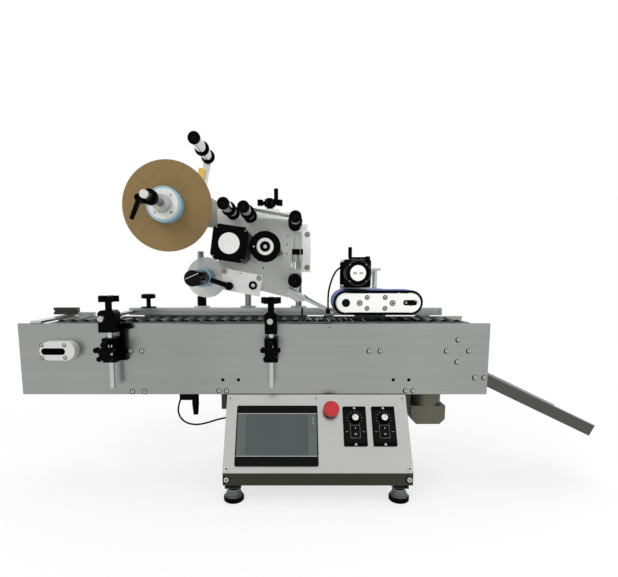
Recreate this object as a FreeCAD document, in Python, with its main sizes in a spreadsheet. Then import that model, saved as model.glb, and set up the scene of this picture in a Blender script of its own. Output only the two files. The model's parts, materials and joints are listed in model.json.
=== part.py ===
import FreeCAD, Part
import math
import os
import Sketcher

# Horizontal labeling machine: a steel beam with a chain of free rollers, a label
# head on posts, a belt press, side guides, a control box on four feet and a chute.
# Lengths are millimetres. X runs along the beam from its infeed end, Y runs back
# from the beam's front face and Z runs up from the floor.

Vec = FreeCAD.Vector
os.makedirs("parts", exist_ok=True)
doc = FreeCAD.newDocument("LabelingMachine")
sheet = doc.addObject("Spreadsheet::Sheet", "Sizes")

sizes = dict(
    # Beam: two folded side walls and the cross members between them
    beam_length=1200, beam_width=200, beam_top=432, beam_height=185.5, sheet_thick=2.5,
    top_lip=7, bottom_lip=24, fold_radius=4, wall_hole_radius=3.2, pin_hole_radius=1.6,
    hole_rise=39.3, pin_hole_x=792.8, pin_hole_drop=10.4,
    member_width=52, member_thick=12, member_a_x=298.6, member_b_x=908, low_member_x=299.6,
    # Screws: pairs on the walls, a ring round the drive shaft, and their heads
    screw_radius=4, screw_height=2.6, screw_side=0.6, screw_crown=0.7,
    small_screw_radius=2.4, small_screw_height=1.8, member_screw_gap=28.4,
    low_screw_gap=30.8, low_screw_z=255.2, hanger_screw_gap=19, hanger_screw_z=257.4,
    chute_screw_x=1179.4, chute_screw_gap=23.4, chute_screw_z=291.7,
    shaft_screw_reach=28.5,
    # Roller chain
    chain_pitch=31.75, idler_near_x=104, wheel_teeth=13, wheel_z=361.8, drive_x=1120,
    strand_width=10, strand_height=15, strand_front_y=8, roller_radius=12, roller_length=82,
    run_clearance=0.3, bore_clearance=0.05, shaft_radius=12.5, wheel_width=9, wear_strip_height=12,
    wear_strip_start=170, wear_strip_end=1050,
    # Chain tensioner on the front wall
    tensioner_left=66.4, tensioner_right=154.4, tensioner_height=47.5, tensioner_z=365.6,
    tensioner_depth=28, tensioner_slot_left=70.9, tensioner_slot_right=130.2,
    tensioner_slot_height=16.5, tensioner_slot_depth=20, tensioner_slot_drop=1,
    tensioner_screw_inset=2.5, tensioner_screw_rise=15.7, slot_bolt_x=84, slot_bolt_gap=33,
    slot_bolt_radius=6.5, slot_bolt_height=7,
    # Infeed and outfeed fittings
    crossbar_gap=4.7, crossbar_width=27, crossbar_thick=6,
    slot_block_left=-2, slot_block_length=68, slot_block_height=20, slot_block_width=20,
    holed_bar_x=67, holed_bar_length=47, holed_bar_height=12, holed_bar_width=16,
    groove_width=6, groove_depth=5,
    rail_height=20, rail_width=20, rail_z=441, rail_front_y=129.5, rail_overhang=10,
    rail_right=722, rail_cap=4, out_rail_left=727, out_rail_right=1112,
    out_rail_front_y=129.5, out_cap=6, rail_foot_a_x=790, rail_foot_b_x=1060,
    rail_foot_width=24, rail_foot_thick=3,
    # Rear deck and the posts on it
    deck_left=260, deck_right=740, deck_front_y=150, deck_back_y=205, deck_thick=8,
    deck_top=457, deck_foot=10, post_y=176, post_a_x=433.8, post_b_x=568.4, post_c_x=714.9,
    post_radius=9, post_a_top=620, post_top=700, sleeve_radius=13, sleeve_height=35,
    flange_width=14, flange_rim=2.5, flange_collar=5, flange_height=7,
    press_deck_left=880, press_deck_right=972, press_deck_front_y=150,
    # Side guide clamps
    clamp_a_x=247, clamp_b_x=645, clamp_y=-33, lift_rod_radius=6.5, lift_rod_bottom=274,
    lift_rod_a_top=415, lift_rod_b_top=411, guide_rod_radius=5, guide_rod_a_z=452,
    guide_rod_b_z=446, guide_rod_front_y=-86, guide_tip_extra=2, guide_tip_length=10,
    clamp_block_height=54, clamp_block_width=43,
    clamp_block_depth=34, clamp_block_b_width=30, clamp_chamfer=6,
    tee_width=29, tee_stem_width=14, tee_depth=14, tee_bar_height=15, tee_top=435,
    bracket_width=33, bracket_bottom=340, bracket_height=60, bracket_front_y=-46,
    bracket_jaw=16, bracket_window_gap=4, star_lobes=5, star_lobe_radius=6.5, star_reach=19,
    star_hub_radius=12, star_arm_width=9, star_height=15, stalk_radius=8,
    top_stalk_height=20, star_knob_front_y=-64, rear_knob_x=290, rear_knob_y=140,
    rear_knob_radius=19.5, rear_knob_height=12, rear_knob_edge=4, rear_knob_crown=2,
    rear_stalk_radius=6, rear_stalk_height=25, rear_base_radius=21, rear_base_height=3,
    # Control box
    box_left=528.6, box_right=989.6, box_bottom=48.7, box_back_y=226, box_sheet=2,
    panel_angle=58, panel_length=196.3, panel_thick=2,
    foot_tab_drop=12.3, foot_tab_width=40, foot_tab_depth=36, foot_tab_thick=3,
    foot_front_y=-78, foot_back_y=200, foot_left_x=552, foot_right_x=962,
    foot_pad_radius=25, foot_pad_height=12, foot_edge=3, foot_ring_radius=19, foot_ring_z=20,
    foot_cone_radius=16, foot_cone_top=33, foot_neck_radius=8,
    hmi_left=557, hmi_width=204, hmi_height=150, hmi_rise=-7.85, hmi_thick=7, hmi_corner=4,
    lcd_left=24, lcd_width=156, lcd_bottom=23, lcd_height=107, lcd_recess=1.5,
    lcd_glass_thick=1, panel_screw_inset=9, panel_screw_drop=10,
    control_left=825, control_width=58.5, control_gap=14.5, control_rise=15.5,
    control_height=100.3, control_thick=4, dial_drop=32, dial_radius=11, dial_height=16,
    dial_taper=0.85, rocker_drop=64, rocker_width=20, rocker_height=28, rocker_proud=6,
    rocker_dip=0.75, rocker_keel=1.8,
    stop_x=795, stop_rise=54.75, stop_collar_radius=15, stop_collar_height=9,
    stop_collar_edge=1.5, stop_head_radius=20, stop_head_height=14, stop_head_side=0.6,
    stop_head_crown=0.7, stop_stem_radius=8, stop_travel_gap=5,
    hanger_width=12, hanger_left_x=511.6, hanger_right_x=994, hanger_drop=41.5,
    hanger_inset=10, hanger_toe=10,
    # Outfeed chute and drive gearmotor
    chute_slope=25.6, chute_start_x=1164, chute_start_z=284.5, chute_length=347,
    chute_wall=31.8, chute_back_y=190, chute_sheet=2,
    gear_x=1063, gear_y=80, gear_neck_radius=42, gear_neck_bottom=205, gear_width=91,
    gear_depth=82, gear_bottom=154, gear_chamfer=14, gear_plate_thick=6,
    # Label head
    head_plate_y=105, head_plate_thick=8, head_gap=0.3, post_clearance=0.3,
    carriage_left=548, carriage_right=738, carriage_bottom=590, carriage_top=690,
    carriage_back_y=200, housing_left=597, housing_right=720, housing_top=722,
    housing_back_y=194, housing_slant=10, housing_edge=2, post_well_depth=22,
    post_well_margin=1, boss_left=609, boss_right=661, boss_height=10, boss_gap=12,
    boss_depth=50, wheel_y=37, wheel_stem_radius=9, wheel_stem_height=14, wheel_hub_radius=15,
    wheel_hub_height=20, wheel_hub_z=8, wheel_arm_radius=5.5, wheel_arm_length=26,
    wheel_arm_z=18, wheel_tip_radius=8, wheel_tip_height=16, wheel_tip_z=11, wheel_reach=27,
    wheel_grip_radius=6, wheel_grip_height=37, wheel_grip_x=17, wheel_grip_z=20,
    guide_roller_radius=13, guide_cap_radius=14.5, guide_ring_radius=18, guide_ring_width=5,
    guide_front_y=-70, guide_cap_length=6, guide_pin_radius=5, guide_pin_length=29,
    dancer_x=475, dancer_z=862.3, dancer_pivot_x=448, dancer_pivot_z=752,
    dancer_width=22, dancer_thick=8, dancer_taper=0.8, dancer_corner=7, dancer_tab_thick=4,
    pivot_pin_proud=3, guide_a_x=538.2, guide_a_z=718.4,
    guide_b_x=584.5, guide_b_z=710.5, guide_c_x=704.6, guide_c_z=688.3, guide_d_x=703.7,
    guide_d_z=539.1,
    reel_x=390.7, reel_z=721.5, reel_disc_radius=110, reel_disc_y=-2, reel_disc_thick=3,
    core_radius=42, core_bore=38, core_front_y=-33, core_back_gap=6, roll_thick=24,
    roll_back_gap=9, reel_flange_radius=36, reel_flange_y=-38, reel_flange_thick=6,
    reel_boss_radius=20, reel_boss_length=22, reel_shaft_radius=9, reel_tip_y=-177,
    shaft_hole_radius=3, shaft_hole_depth=12, spacer_x=505, spacer_z=686, spacer_length=36,
    spacer_height=4, collar_front_y=-142, collar_width=16, collar_radius=17, ear_reach=25,
    ear_drop=13, ear_height=17, lever_x=17.3, lever_drop=4.5, lever_length=48, lever_root=10,
    lever_tip=7, lever_front_y=-11, lever_thick=8, lever_turn=24, lever_hub_radius=8,
    lever_hub_length=18,
    motor_x=545, motor_z=630, motor_width=86, motor_front_y=-35, motor_tilt=8.5,
    motor_corner=12, motor_disc_radius=26, motor_dish=1.5, motor_disc_thick=0.5,
    drive_roll_x=629.8, drive_roll_z=624.1, hand_disc_radius=38.5, hand_disc_thick=14,
    hand_disc_edge=3, hand_ring_inner=13, hand_ring_outer=21, hand_ring_proud=1.5,
    drive_roll_radius=20, drive_roll_front_y=22, drive_roll_gap=6, roll_shaft_radius=8,
    lug_ring_radius=30, lug_reach=36, lug_radius=9, lug_turn=20, lug_flange_thick=10,
    block_x=570.8, block_z=536, block_length=99, block_height=53, block_tilt=11,
    block_front_y=-8, block_thick=8, block_corner=2, block_post_x=40, block_post_z=20,
    block_post_low=22, block_post_radius=5, socket_x=599, socket_z=528, socket_outer=10,
    socket_inner=6, socket_proud=2.5,
    nip_x=541, nip_z=527, nip_arm_length=48, nip_arm_width=13, nip_arm_taper=2,
    nip_arm_y=2, nip_arm_thick=10, nip_turn=19, nip_hub_radius=10, nip_hub_length=15.7,
    rewind_x=466.6, rewind_z=547, mandrel_radius=19, mandrel_front_y=-92,
    mandrel_edge=2, sleeve_blue_radius=24, sleeve_front_y=21, rewind_disc_radius=54,
    rewind_disc_y=86, rewind_disc_thick=2, rewind_arm_left=445, rewind_arm_right=560,
    rewind_arm_low=527, rewind_arm_height=40, peel_front_y=0, peel_back_y=100,
    sensor_left=690, sensor_width=32, sensor_depth=45, sensor_clamp_z=557.5,
    sensor_clamp_height=11, sensor_rod_x=700, sensor_rod_gap=12, sensor_rod_inset=14,
    sensor_rod_radius=3, sensor_head_left=696, sensor_head_width=29, sensor_head_depth=28,
    sensor_head_z=607, sensor_head_height=14,
    side_plate_left=722, side_plate_right=746.5, side_plate_bottom=561, side_plate_top=673,
    # Belt press
    press_front_y=25, press_belt_width=91, press_belt_thick=6, press_pulley_radius=26,
    press_left_x=835.3, press_right_x=1003.4, press_z=482.4, press_plate_thick=6,
    press_plate_radius=24.3, press_motor_x=864, press_motor_z=558.7, press_motor_radius=34.3,
    press_motor_width=70, press_motor_front_y=17, press_motor_corner=6, press_motor_skirt=2,
    press_drum_depth=14, press_disc_radius=20, press_disc_thick=1, press_shaft_radius=8,
    press_core_gap=4, press_core_height=32, mount_drop=8, mount_step=6,
    column_x=933.9, column_y=176, column_radius=7.5, column_top=565,
    column_cap_left=12, column_cap_front=9, column_cap_length=28, column_cap_width=18,
    column_cap_height=7, slide_block_left=902, slide_block_right=954,
    slide_block_height=50, slide_block_z=464.5, slide_block_back_y=194,
    crank_x=913.3, crank_z=601, crank_reach=51, crank_grip_radius=5.5,
    crank_grip_height=29, crank_screw_radius=4, crank_hub_radius=7, crank_hub_height=9,
    crank_arm_width=8, crank_arm_thick=6,
    # Loose cables and what they plug into
    cable_radius=2.3, junction_x=404, junction_width=36, junction_height=15.5, junction_front_y=3,
    junction_depth=20, plug_x=443, plug_length=56, plug_radius=9, plug_tip_radius=6.5,
    connector_width=11, connector_depth=8, connector_height=14,
)


class Size:
    """A number together with the sheet formula that gives it."""

    def __init__(self, value, formula):
        self.value = float(value)
        self.formula = formula

    def join(self, other, mark, value):
        return Size(value, "(%s %s %s)" % (self.formula, mark, as_size(other).formula))

    def __add__(self, other):
        return self.join(other, "+", self.value + float(other))

    def __sub__(self, other):
        return self.join(other, "-", self.value - float(other))

    def __mul__(self, other):
        return self.join(other, "*", self.value * float(other))

    def __truediv__(self, other):
        return self.join(other, "/", self.value / float(other))

    def __radd__(self, other):
        return as_size(other) + self

    def __rsub__(self, other):
        return as_size(other) - self

    def __rmul__(self, other):
        return as_size(other) * self

    def __rtruediv__(self, other):
        return as_size(other) / self

    def __neg__(self):
        return as_size(0) - self

    def __float__(self):
        return self.value


def as_size(number):
    if isinstance(number, Size):
        return number
    return Size(number, "%.9g" % number if number >= 0 else "(%.9g)" % number)


def sine(angle):
    return Size(math.sin(math.radians(float(angle))), "sin(%s)" % as_size(angle).formula)


def cosine(angle):
    return Size(math.cos(math.radians(float(angle))), "cos(%s)" % as_size(angle).formula)


class Names:
    """Every size of the sheet, by its name."""


s = Names()
for row, (name, value) in enumerate(sizes.items(), start=1):
    sheet.set("A%d" % row, name)
    sheet.set("B%d" % row, str(value))
    sheet.setAlias("B%d" % row, name)
    setattr(s, name, Size(value, "Sizes." + name))
doc.recompute()

made = {}
spots = {}


def bind(item, prop, size):
    item.setExpression(prop, as_size(size).formula)


def place(item, x=0, y=0, z=0, axis=Vec(0, 0, 1), angle=0):
    """Stand an object at a spot of the beam's frame, turned about an axis."""
    item.Placement = FreeCAD.Placement(Vec(float(x), float(y), float(z)),
                                       FreeCAD.Rotation(axis, float(angle)))
    spots[item.Name] = (x, y, z)
    for prop, size in zip("xyz", (x, y, z)):
        bind(item, "Placement.Base." + prop, size)
    return item


def node(name, item):
    """Keep a finished solid as one of the solids of a named sub-part."""
    made.setdefault(name, []).append(item)


def finish_node(name, items):
    """Join a sub-part's solids under its name and move them to the frame's origin."""
    item = items[0] if len(items) == 1 else group(name + "_group", items)
    x, y, z = spots.get(item.Name, (0, 0, 0))
    bind(item, "Placement.Base.x", x - origin_x)
    bind(item, "Placement.Base.y", y - origin_y)
    bind(item, "Placement.Base.z", z)
    item.Label = name
    return item


def new_body(name):
    return doc.addObject("PartDesign::Body", name + "_body")


def new_sketch(body, plane, offset=0):
    sketch = body.newObject("Sketcher::SketchObject", body.Name + "_sketch")
    origin_plane = [item for item in body.Origin.OriginFeatures if item.Role == plane][0]
    sketch.AttachmentSupport = [(origin_plane, "")]
    sketch.MapMode = "FlatFace"
    away = -1 if plane == "XZ_Plane" else 1
    bind(sketch, "AttachmentOffset.Base.z", offset * away)
    return sketch


def fix(sketch, geometry, point, x, y):
    for kind, size in (("DistanceX", x), ("DistanceY", y)):
        place_number = sketch.addConstraint(
            Sketcher.Constraint(kind, -1, 1, geometry, point, float(size)))
        bind(sketch, "Constraints[%d]" % place_number, size)


def draw_polygon(sketch, points):
    first = sketch.GeometryCount
    count = len(points)
    for i in range(count):
        start = points[i]
        end = points[(i + 1) % count]
        sketch.addGeometry(Part.LineSegment(Vec(float(start[0]), float(start[1]), 0),
                                            Vec(float(end[0]), float(end[1]), 0)), False)
    for i in range(count):
        sketch.addConstraint(Sketcher.Constraint("Coincident", first + i, 2,
                                                 first + (i + 1) % count, 1))
    for i in range(count):
        fix(sketch, first + i, 1, points[i][0], points[i][1])


def draw_circle(sketch, x, y, radius):
    index = sketch.addGeometry(Part.Circle(Vec(float(x), float(y), 0), Vec(0, 0, 1),
                                           float(radius)), False)
    fix(sketch, index, 3, x, y)
    number = sketch.addConstraint(Sketcher.Constraint("Radius", index, float(radius)))
    bind(sketch, "Constraints[%d]" % number, radius)


def draw_stadium(sketch, left, right, y, radius):
    """A level slot outline between two end centres."""
    up = Vec(0, float(radius), 0)
    a = Vec(float(left), float(y), 0)
    b = Vec(float(right), float(y), 0)
    half = math.pi / 2
    top = sketch.addGeometry(Part.LineSegment(b + up, a + up), False)
    turn_a = sketch.addGeometry(
        Part.ArcOfCircle(Part.Circle(a, Vec(0, 0, 1), float(radius)), half, 3 * half), False)
    low = sketch.addGeometry(Part.LineSegment(a - up, b - up), False)
    turn_b = sketch.addGeometry(
        Part.ArcOfCircle(Part.Circle(b, Vec(0, 0, 1), float(radius)), -half, half), False)
    for one, end, other, start in ((top, 2, turn_a, 1), (turn_a, 2, low, 1),
                                   (low, 2, turn_b, 1), (turn_b, 2, top, 1)):
        sketch.addConstraint(Sketcher.Constraint("Tangent", one, end, other, start))
    fix(sketch, turn_a, 3, left, y)
    fix(sketch, turn_b, 3, right, y)
    number = sketch.addConstraint(Sketcher.Constraint("Radius", turn_a, float(radius)))
    bind(sketch, "Constraints[%d]" % number, radius)


def pad(body, sketch, length):
    feature = body.newObject("PartDesign::Pad", body.Name + "_pad")
    feature.Profile = sketch
    bind(feature, "Length", length)
    feature.Reversed = sketch.AttachmentSupport[0][0].Role == "XZ_Plane"
    doc.recompute()
    return feature


def pocket(body, sketch, length, forward):
    """Cut a sketch into the body; forward cuts along the growing axis."""
    before = body.Shape.Volume
    feature = body.newObject("PartDesign::Pocket", body.Name + "_pocket")
    feature.Profile = sketch
    bind(feature, "Length", length)
    back_is_plain = sketch.AttachmentSupport[0][0].Role != "XZ_Plane"
    feature.Reversed = forward == back_is_plain
    doc.recompute()
    if body.Shape.Volume > before - 1e-6:
        raise ValueError("a pocket of %s cuts nothing" % body.Name)
    return feature


def edges_along(shape, axis, pick=None):
    """Names of the straight edges that run along an axis, kept by their middle."""
    names = []
    for number, edge in enumerate(shape.Edges, start=1):
        if not isinstance(edge.Curve, Part.Line):
            continue
        run = edge.lastVertex().Point - edge.firstVertex().Point
        middle = (edge.lastVertex().Point + edge.firstVertex().Point) * 0.5
        if run.cross(axis).Length > 1e-6 * run.Length:
            continue
        if pick is None or pick(middle):
            names.append("Edge%d" % number)
    return names


def dress(body, kind, names, size):
    """Round or chamfer named edges of the body's last feature."""
    base = body.Tip
    feature = body.newObject("PartDesign::" + kind, body.Name + "_" + kind.lower())
    feature.Base = (base, names)
    bind(feature, "Radius" if kind == "Fillet" else "Size", size)
    doc.recompute()
    return feature


def prism(name, plane, points, start, length):
    """A straight-sided outline on an origin plane, padded along the growing axis."""
    body = new_body(name)
    sketch = new_sketch(body, plane, start)
    draw_polygon(sketch, points)
    pad(body, sketch, length)
    return body


def turned(name, outline, axis="Y"):
    """A ring or disc revolved from (radius, distance) points about an axis."""
    body = new_body(name)
    sketch = new_sketch(body, "XZ_Plane" if axis == "Z" else "XY_Plane")
    draw_polygon(sketch, outline)
    feature = body.newObject("PartDesign::Revolution", body.Name + "_turn")
    feature.Profile = sketch
    feature.ReferenceAxis = (sketch, ["V_Axis"])
    feature.Angle = 360
    doc.recompute()
    return body


def box(name, x, y, z, length, width, height):
    item = doc.addObject("Part::Box", name)
    bind(item, "Length", length)
    bind(item, "Width", width)
    bind(item, "Height", height)
    return place(item, x, y, z)


turns = {"X": (Vec(0, 1, 0), 90), "Y": (Vec(1, 0, 0), -90), "Z": (Vec(0, 0, 1), 0)}


def rod(name, x, y, z, radius, length, axis="Y"):
    item = doc.addObject("Part::Cylinder", name)
    bind(item, "Radius", radius)
    bind(item, "Height", length)
    return place(item, x, y, z, *turns[axis])


def fuse(name, items):
    item = doc.addObject("Part::MultiFuse", name)
    item.Shapes = items
    return item


def cut(name, base, tool):
    item = doc.addObject("Part::Cut", name)
    item.Base = base
    item.Tool = tool
    return item


def group(name, items):
    item = doc.addObject("Part::Compound", name)
    item.Links = items
    return item


# Outlines and places taken off the machine, as (X, Z) points

wall_hole_places = (518, 558.3, 957.3, 997.5)
face_plate_points = ((495.4, 728), (598, 726), (606, 704), (722, 704), (722, 668), (704, 668),
                     (694, 575), (718, 565), (718, 525), (711, 489), (680.6, 493.4),
                     (611, 510.6), (497, 514))
reel_arm_points = ((362, 694), (362, 749), (432, 768), (464, 768), (508, 742), (547, 688),
                   (508, 678))
dancer_tab_points = ((445, 806), (463, 804), (467, 831), (450, 835))
peel_holder_points = ((686.5, 518), (681, 503), (706, 487.5), (728.6, 489))
peel_blade_points = ((729.2, 490.5), (728.9, 499), (791, 467.5), (801.5, 460), (801.5, 457.5),
                     (787, 460.5))
peel_root_points = ((686.7, 518.3), (689, 521), (729, 499.2), (729, 489.3))
box_cable_points = ((404, 13, 231), (395, 14, 208), (398, 17, 182), (414, 20, 164),
                    (441, 23, 157), (472, 25, 163), (501, 27, 172.5), (527.9, 29, 177))
sensor_cable_points = ((787, -6, 472), (786, -7, 499), (790, -5, 526), (799, 6, 550),
                       (811, 26, 568), (827.2, 38, 577))

# Places that several sub-parts share

wheel_radius_pitch = s.chain_pitch / (2 * sine(180 / s.wheel_teeth))
free_links = as_size(round(float((s.drive_x - s.idler_near_x) * 2 / s.chain_pitch)))
chain_links = free_links + s.wheel_teeth
hmi_top = (s.panel_length - s.hmi_height) / 2 - s.hmi_rise
control_top = (s.panel_length - s.control_height) / 2 - s.control_rise
stop_drop = s.panel_length / 2 - s.stop_rise
idler_x = s.drive_x - free_links * s.chain_pitch / 2
chain_top = s.wheel_z + wheel_radius_pitch
beam_bottom = s.beam_top - s.beam_height
inner_front = s.sheet_thick
inner_back = s.beam_width - s.sheet_thick
inner_width = inner_back - inner_front
panel_foot_y = -(s.panel_length * cosine(s.panel_angle))
panel_foot_z = beam_bottom - s.panel_length * sine(s.panel_angle)
chute_end_x = (s.chute_start_x + s.chute_length * cosine(s.chute_slope)
               + s.chute_wall * sine(s.chute_slope))
plate_back_y = s.head_plate_y + s.head_plate_thick
strand_back_y = s.strand_front_y + s.strand_width + s.roller_length
guide_back_y = s.head_plate_y - s.head_gap
running = s.bore_clearance
press_back_y = s.press_front_y + s.press_belt_width + s.press_plate_thick * 2
origin_x = (s.slot_block_left + chute_end_x) / 2
origin_y = (s.reel_tip_y + s.box_back_y) / 2


def side_wall(name, outer_y, inward):
    """A folded side wall: an upright sheet with a lip at its top and its bottom."""
    def y(depth):
        return outer_y + depth * inward

    body = new_body(name)
    sketch = new_sketch(body, "YZ_Plane")
    bottom = beam_bottom
    top = s.beam_top
    thick = s.sheet_thick
    draw_polygon(sketch, [
        (y(0), bottom), (y(s.bottom_lip), bottom), (y(s.bottom_lip), bottom + thick),
        (y(thick), bottom + thick), (y(thick), top - thick), (y(s.top_lip), top - thick),
        (y(s.top_lip), top), (y(0), top)])
    pad(body, sketch, s.beam_length)
    outer = float(outer_y)
    folds = edges_along(body.Shape, Vec(1, 0, 0), lambda at: abs(at.y - outer) < 1e-6)
    dress(body, "Fillet", folds, s.fold_radius)
    return body


def front_wall():
    body = side_wall("front_wall", as_size(0), 1)
    sketch = new_sketch(body, "XZ_Plane", -1)
    for x in wall_hole_places:
        draw_circle(sketch, x, beam_bottom + s.hole_rise, s.wall_hole_radius)
    draw_circle(sketch, s.pin_hole_x, s.beam_top - s.pin_hole_drop, s.pin_hole_radius)
    pocket(body, sketch, s.sheet_thick + 2, True)
    node("front_wall", body)


def cross_members():
    """Bars between the walls, inside the chain loop and below it."""
    items = []
    upper_z = s.wheel_z - s.member_thick / 2
    strip_bottom = chain_top - s.strand_height / 2 - s.run_clearance - s.wear_strip_height
    for i, x in enumerate((s.member_a_x, s.member_b_x)):
        left = x - s.member_width / 2
        bar = box("bar%d" % i, left, inner_front, upper_z, s.member_width, inner_width,
                  s.member_thick)
        stands = [bar]
        for k, y in enumerate((s.strand_front_y, strand_back_y)):
            foot = upper_z + s.member_thick
            stands.append(box("stand%d%d" % (i, k), left, y, foot, s.member_width,
                              s.strand_width, strip_bottom - foot))
        items.append(fuse("member%d" % i, stands))
    for i, x in enumerate((s.low_member_x, s.member_b_x)):
        items.append(box("low_bar%d" % i, x - s.member_width / 2, inner_front,
                         beam_bottom + s.sheet_thick, s.member_width, inner_width,
                         s.member_thick))
    for i, y in enumerate((s.strand_front_y, strand_back_y)):
        items.append(box("strip%d" % i, s.wear_strip_start, y, strip_bottom,
                         s.wear_strip_end - s.wear_strip_start, s.strand_width,
                         s.wear_strip_height))
    node("cross_members", group("cross_members_set", items))


def screw(name, x, y, z, radius, height, out=-1):
    """A round screw head that stands out along Y from a face."""
    return rod(name, x, y - height if out < 0 else y, z, radius, height)


def wall_screws():
    """Screw heads on the walls, in level pairs and in a ring round the drive shaft."""
    hanger_left = s.hanger_left_x + s.hanger_width / 2
    hanger_right = s.hanger_right_x + s.hanger_width / 2
    pairs = ((s.member_a_x, s.member_screw_gap, s.wheel_z),
             (s.member_b_x, s.member_screw_gap, s.wheel_z),
             (s.low_member_x, s.low_screw_gap, s.low_screw_z),
             (hanger_left, s.hanger_screw_gap, s.hanger_screw_z),
             (hanger_right, s.hanger_screw_gap, s.hanger_screw_z),
             (s.chute_screw_x, s.chute_screw_gap, s.chute_screw_z))
    one_side = []
    both_sides = []
    for x, gap, z in pairs:
        kept = both_sides if x is s.chute_screw_x else one_side
        kept.append((x - gap / 2, z))
        kept.append((x + gap / 2, z))
    for turn in range(4):
        both_sides.append((s.drive_x + s.shaft_screw_reach * cosine(turn * 90),
                           s.wheel_z + s.shaft_screw_reach * sine(turn * 90)))
    items = []
    for i, (x, z) in enumerate(one_side + both_sides):
        items.append(screw("front_screw%d" % i, x, as_size(0), z, s.screw_radius,
                           s.screw_height))
    for i, (x, z) in enumerate(both_sides):
        items.append(screw("back_screw%d" % i, x, s.beam_width, z, s.screw_radius,
                           s.screw_height, 1))
    node("screws", group("wall_screws_set", items))


def chain_point(step):
    """Where a link's pin sits on the loop, counted from the drive wheel's top."""
    straight = float(free_links * s.chain_pitch / 2)
    pitch = float(s.chain_pitch)
    radius = float(wheel_radius_pitch)
    turn = math.pi * radius
    along = step * (2 * straight + 2 * turn) / float(chain_links)
    left = float(idler_x)
    right = float(s.drive_x)
    z = float(s.wheel_z)
    if along < straight:
        return right - along, z + radius
    along -= straight
    if along < turn:
        angle = math.pi / 2 + along / radius
        return left + radius * math.cos(angle), z + radius * math.sin(angle)
    along -= turn
    if along < straight:
        return left + along, z - radius
    angle = -math.pi / 2 + (along - straight) / radius
    return right + radius * math.cos(angle), z + radius * math.sin(angle)


def chain_rollers():
    """Free rollers that the two chain strands carry, one on every link."""
    item = doc.addObject("Part::Feature", "chain_rollers_set")
    length = float(s.roller_length)
    front = float(s.strand_front_y + s.strand_width)
    shapes = []
    for step in range(int(chain_links.value)):
        x, z = chain_point(step)
        shapes.append(Part.makeCylinder(float(s.roller_radius), length, Vec(x, front, z),
                                        Vec(0, 1, 0)))
    item.Shape = Part.makeCompound(shapes)
    node("roller_chain", item)


def chain_strands():
    """The two loops of side links, one at each end of the rollers."""
    items = []
    half = s.strand_height / 2
    outer = wheel_radius_pitch + half
    inner = wheel_radius_pitch - half
    run = s.drive_x - idler_x
    for i, y in enumerate((s.strand_front_y, strand_back_y)):
        items.append(box("top_run%d" % i, idler_x, y, s.wheel_z + inner, run, s.strand_width,
                         s.strand_height))
        items.append(box("low_run%d" % i, idler_x, y, s.wheel_z - outer, run, s.strand_width,
                         s.strand_height))
        for k, (x, left) in enumerate(((idler_x, idler_x - outer), (s.drive_x, s.drive_x))):
            name = "%d%d" % (i, k)
            ring = cut("bend_ring" + name, rod("bend_disc" + name, x, y, s.wheel_z, outer,
                                               s.strand_width),
                       rod("bend_hole" + name, x, y, s.wheel_z, inner, s.strand_width))
            keep = box("bend_half" + name, left, y, s.wheel_z - outer, outer, s.strand_width,
                       outer * 2)
            bend = doc.addObject("Part::Common", "bend" + name)
            bend.Base = ring
            bend.Tool = keep
            items.append(bend)
    node("roller_chain", group("chain_strands_set", items))


def wheel_shaft(name, x):
    """A cross shaft with a wheel under each chain strand."""
    radius = wheel_radius_pitch - s.strand_height / 2 - s.run_clearance
    inset = (s.strand_width - s.wheel_width) / 2
    front = s.strand_front_y + inset
    back = strand_back_y + inset
    start = inner_front + s.run_clearance
    end = inner_back - s.run_clearance
    body = turned(name, [
        (0, start), (s.shaft_radius, start), (s.shaft_radius, front), (radius, front),
        (radius, front + s.wheel_width), (s.shaft_radius, front + s.wheel_width),
        (s.shaft_radius, back), (radius, back), (radius, back + s.wheel_width),
        (s.shaft_radius, back + s.wheel_width), (s.shaft_radius, end), (0, end)])
    place(body, x, 0, s.wheel_z)
    node(name, body)


def chain_tensioner():
    """A round-ended block on the front wall with a long slot for its two bolts."""
    half = s.tensioner_height / 2
    face = -s.tensioner_depth
    body = new_body("tensioner")
    sketch = new_sketch(body, "XZ_Plane", face)
    draw_stadium(sketch, s.tensioner_left + half, s.tensioner_right - half, s.tensioner_z, half)
    pad(body, sketch, s.tensioner_depth)
    slot = new_sketch(body, "XZ_Plane", face)
    slot_half = s.tensioner_slot_height / 2
    slot_z = s.tensioner_z - s.tensioner_slot_drop
    draw_stadium(slot, s.tensioner_slot_left + slot_half, s.tensioner_slot_right - slot_half,
                 slot_z, slot_half)
    pocket(body, slot, s.tensioner_slot_depth, True)
    node("chain_tensioner", body)
    items = []
    for i, x in enumerate((s.tensioner_slot_left + s.tensioner_screw_inset,
                           s.tensioner_slot_right)):
        for k, rise in enumerate((s.tensioner_screw_rise, -s.tensioner_screw_rise)):
            items.append(screw("block_screw%d%d" % (i, k), x, face, s.tensioner_z + rise,
                               s.small_screw_radius, s.small_screw_height))
        items.append(rod("slot_bolt%d" % i, s.slot_bolt_x + s.slot_bolt_gap * i,
                         face + s.tensioner_slot_depth - s.slot_bolt_height, slot_z,
                         s.slot_bolt_radius, s.slot_bolt_height))
    node("screws", group("tensioner_screws_set", items))


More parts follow.
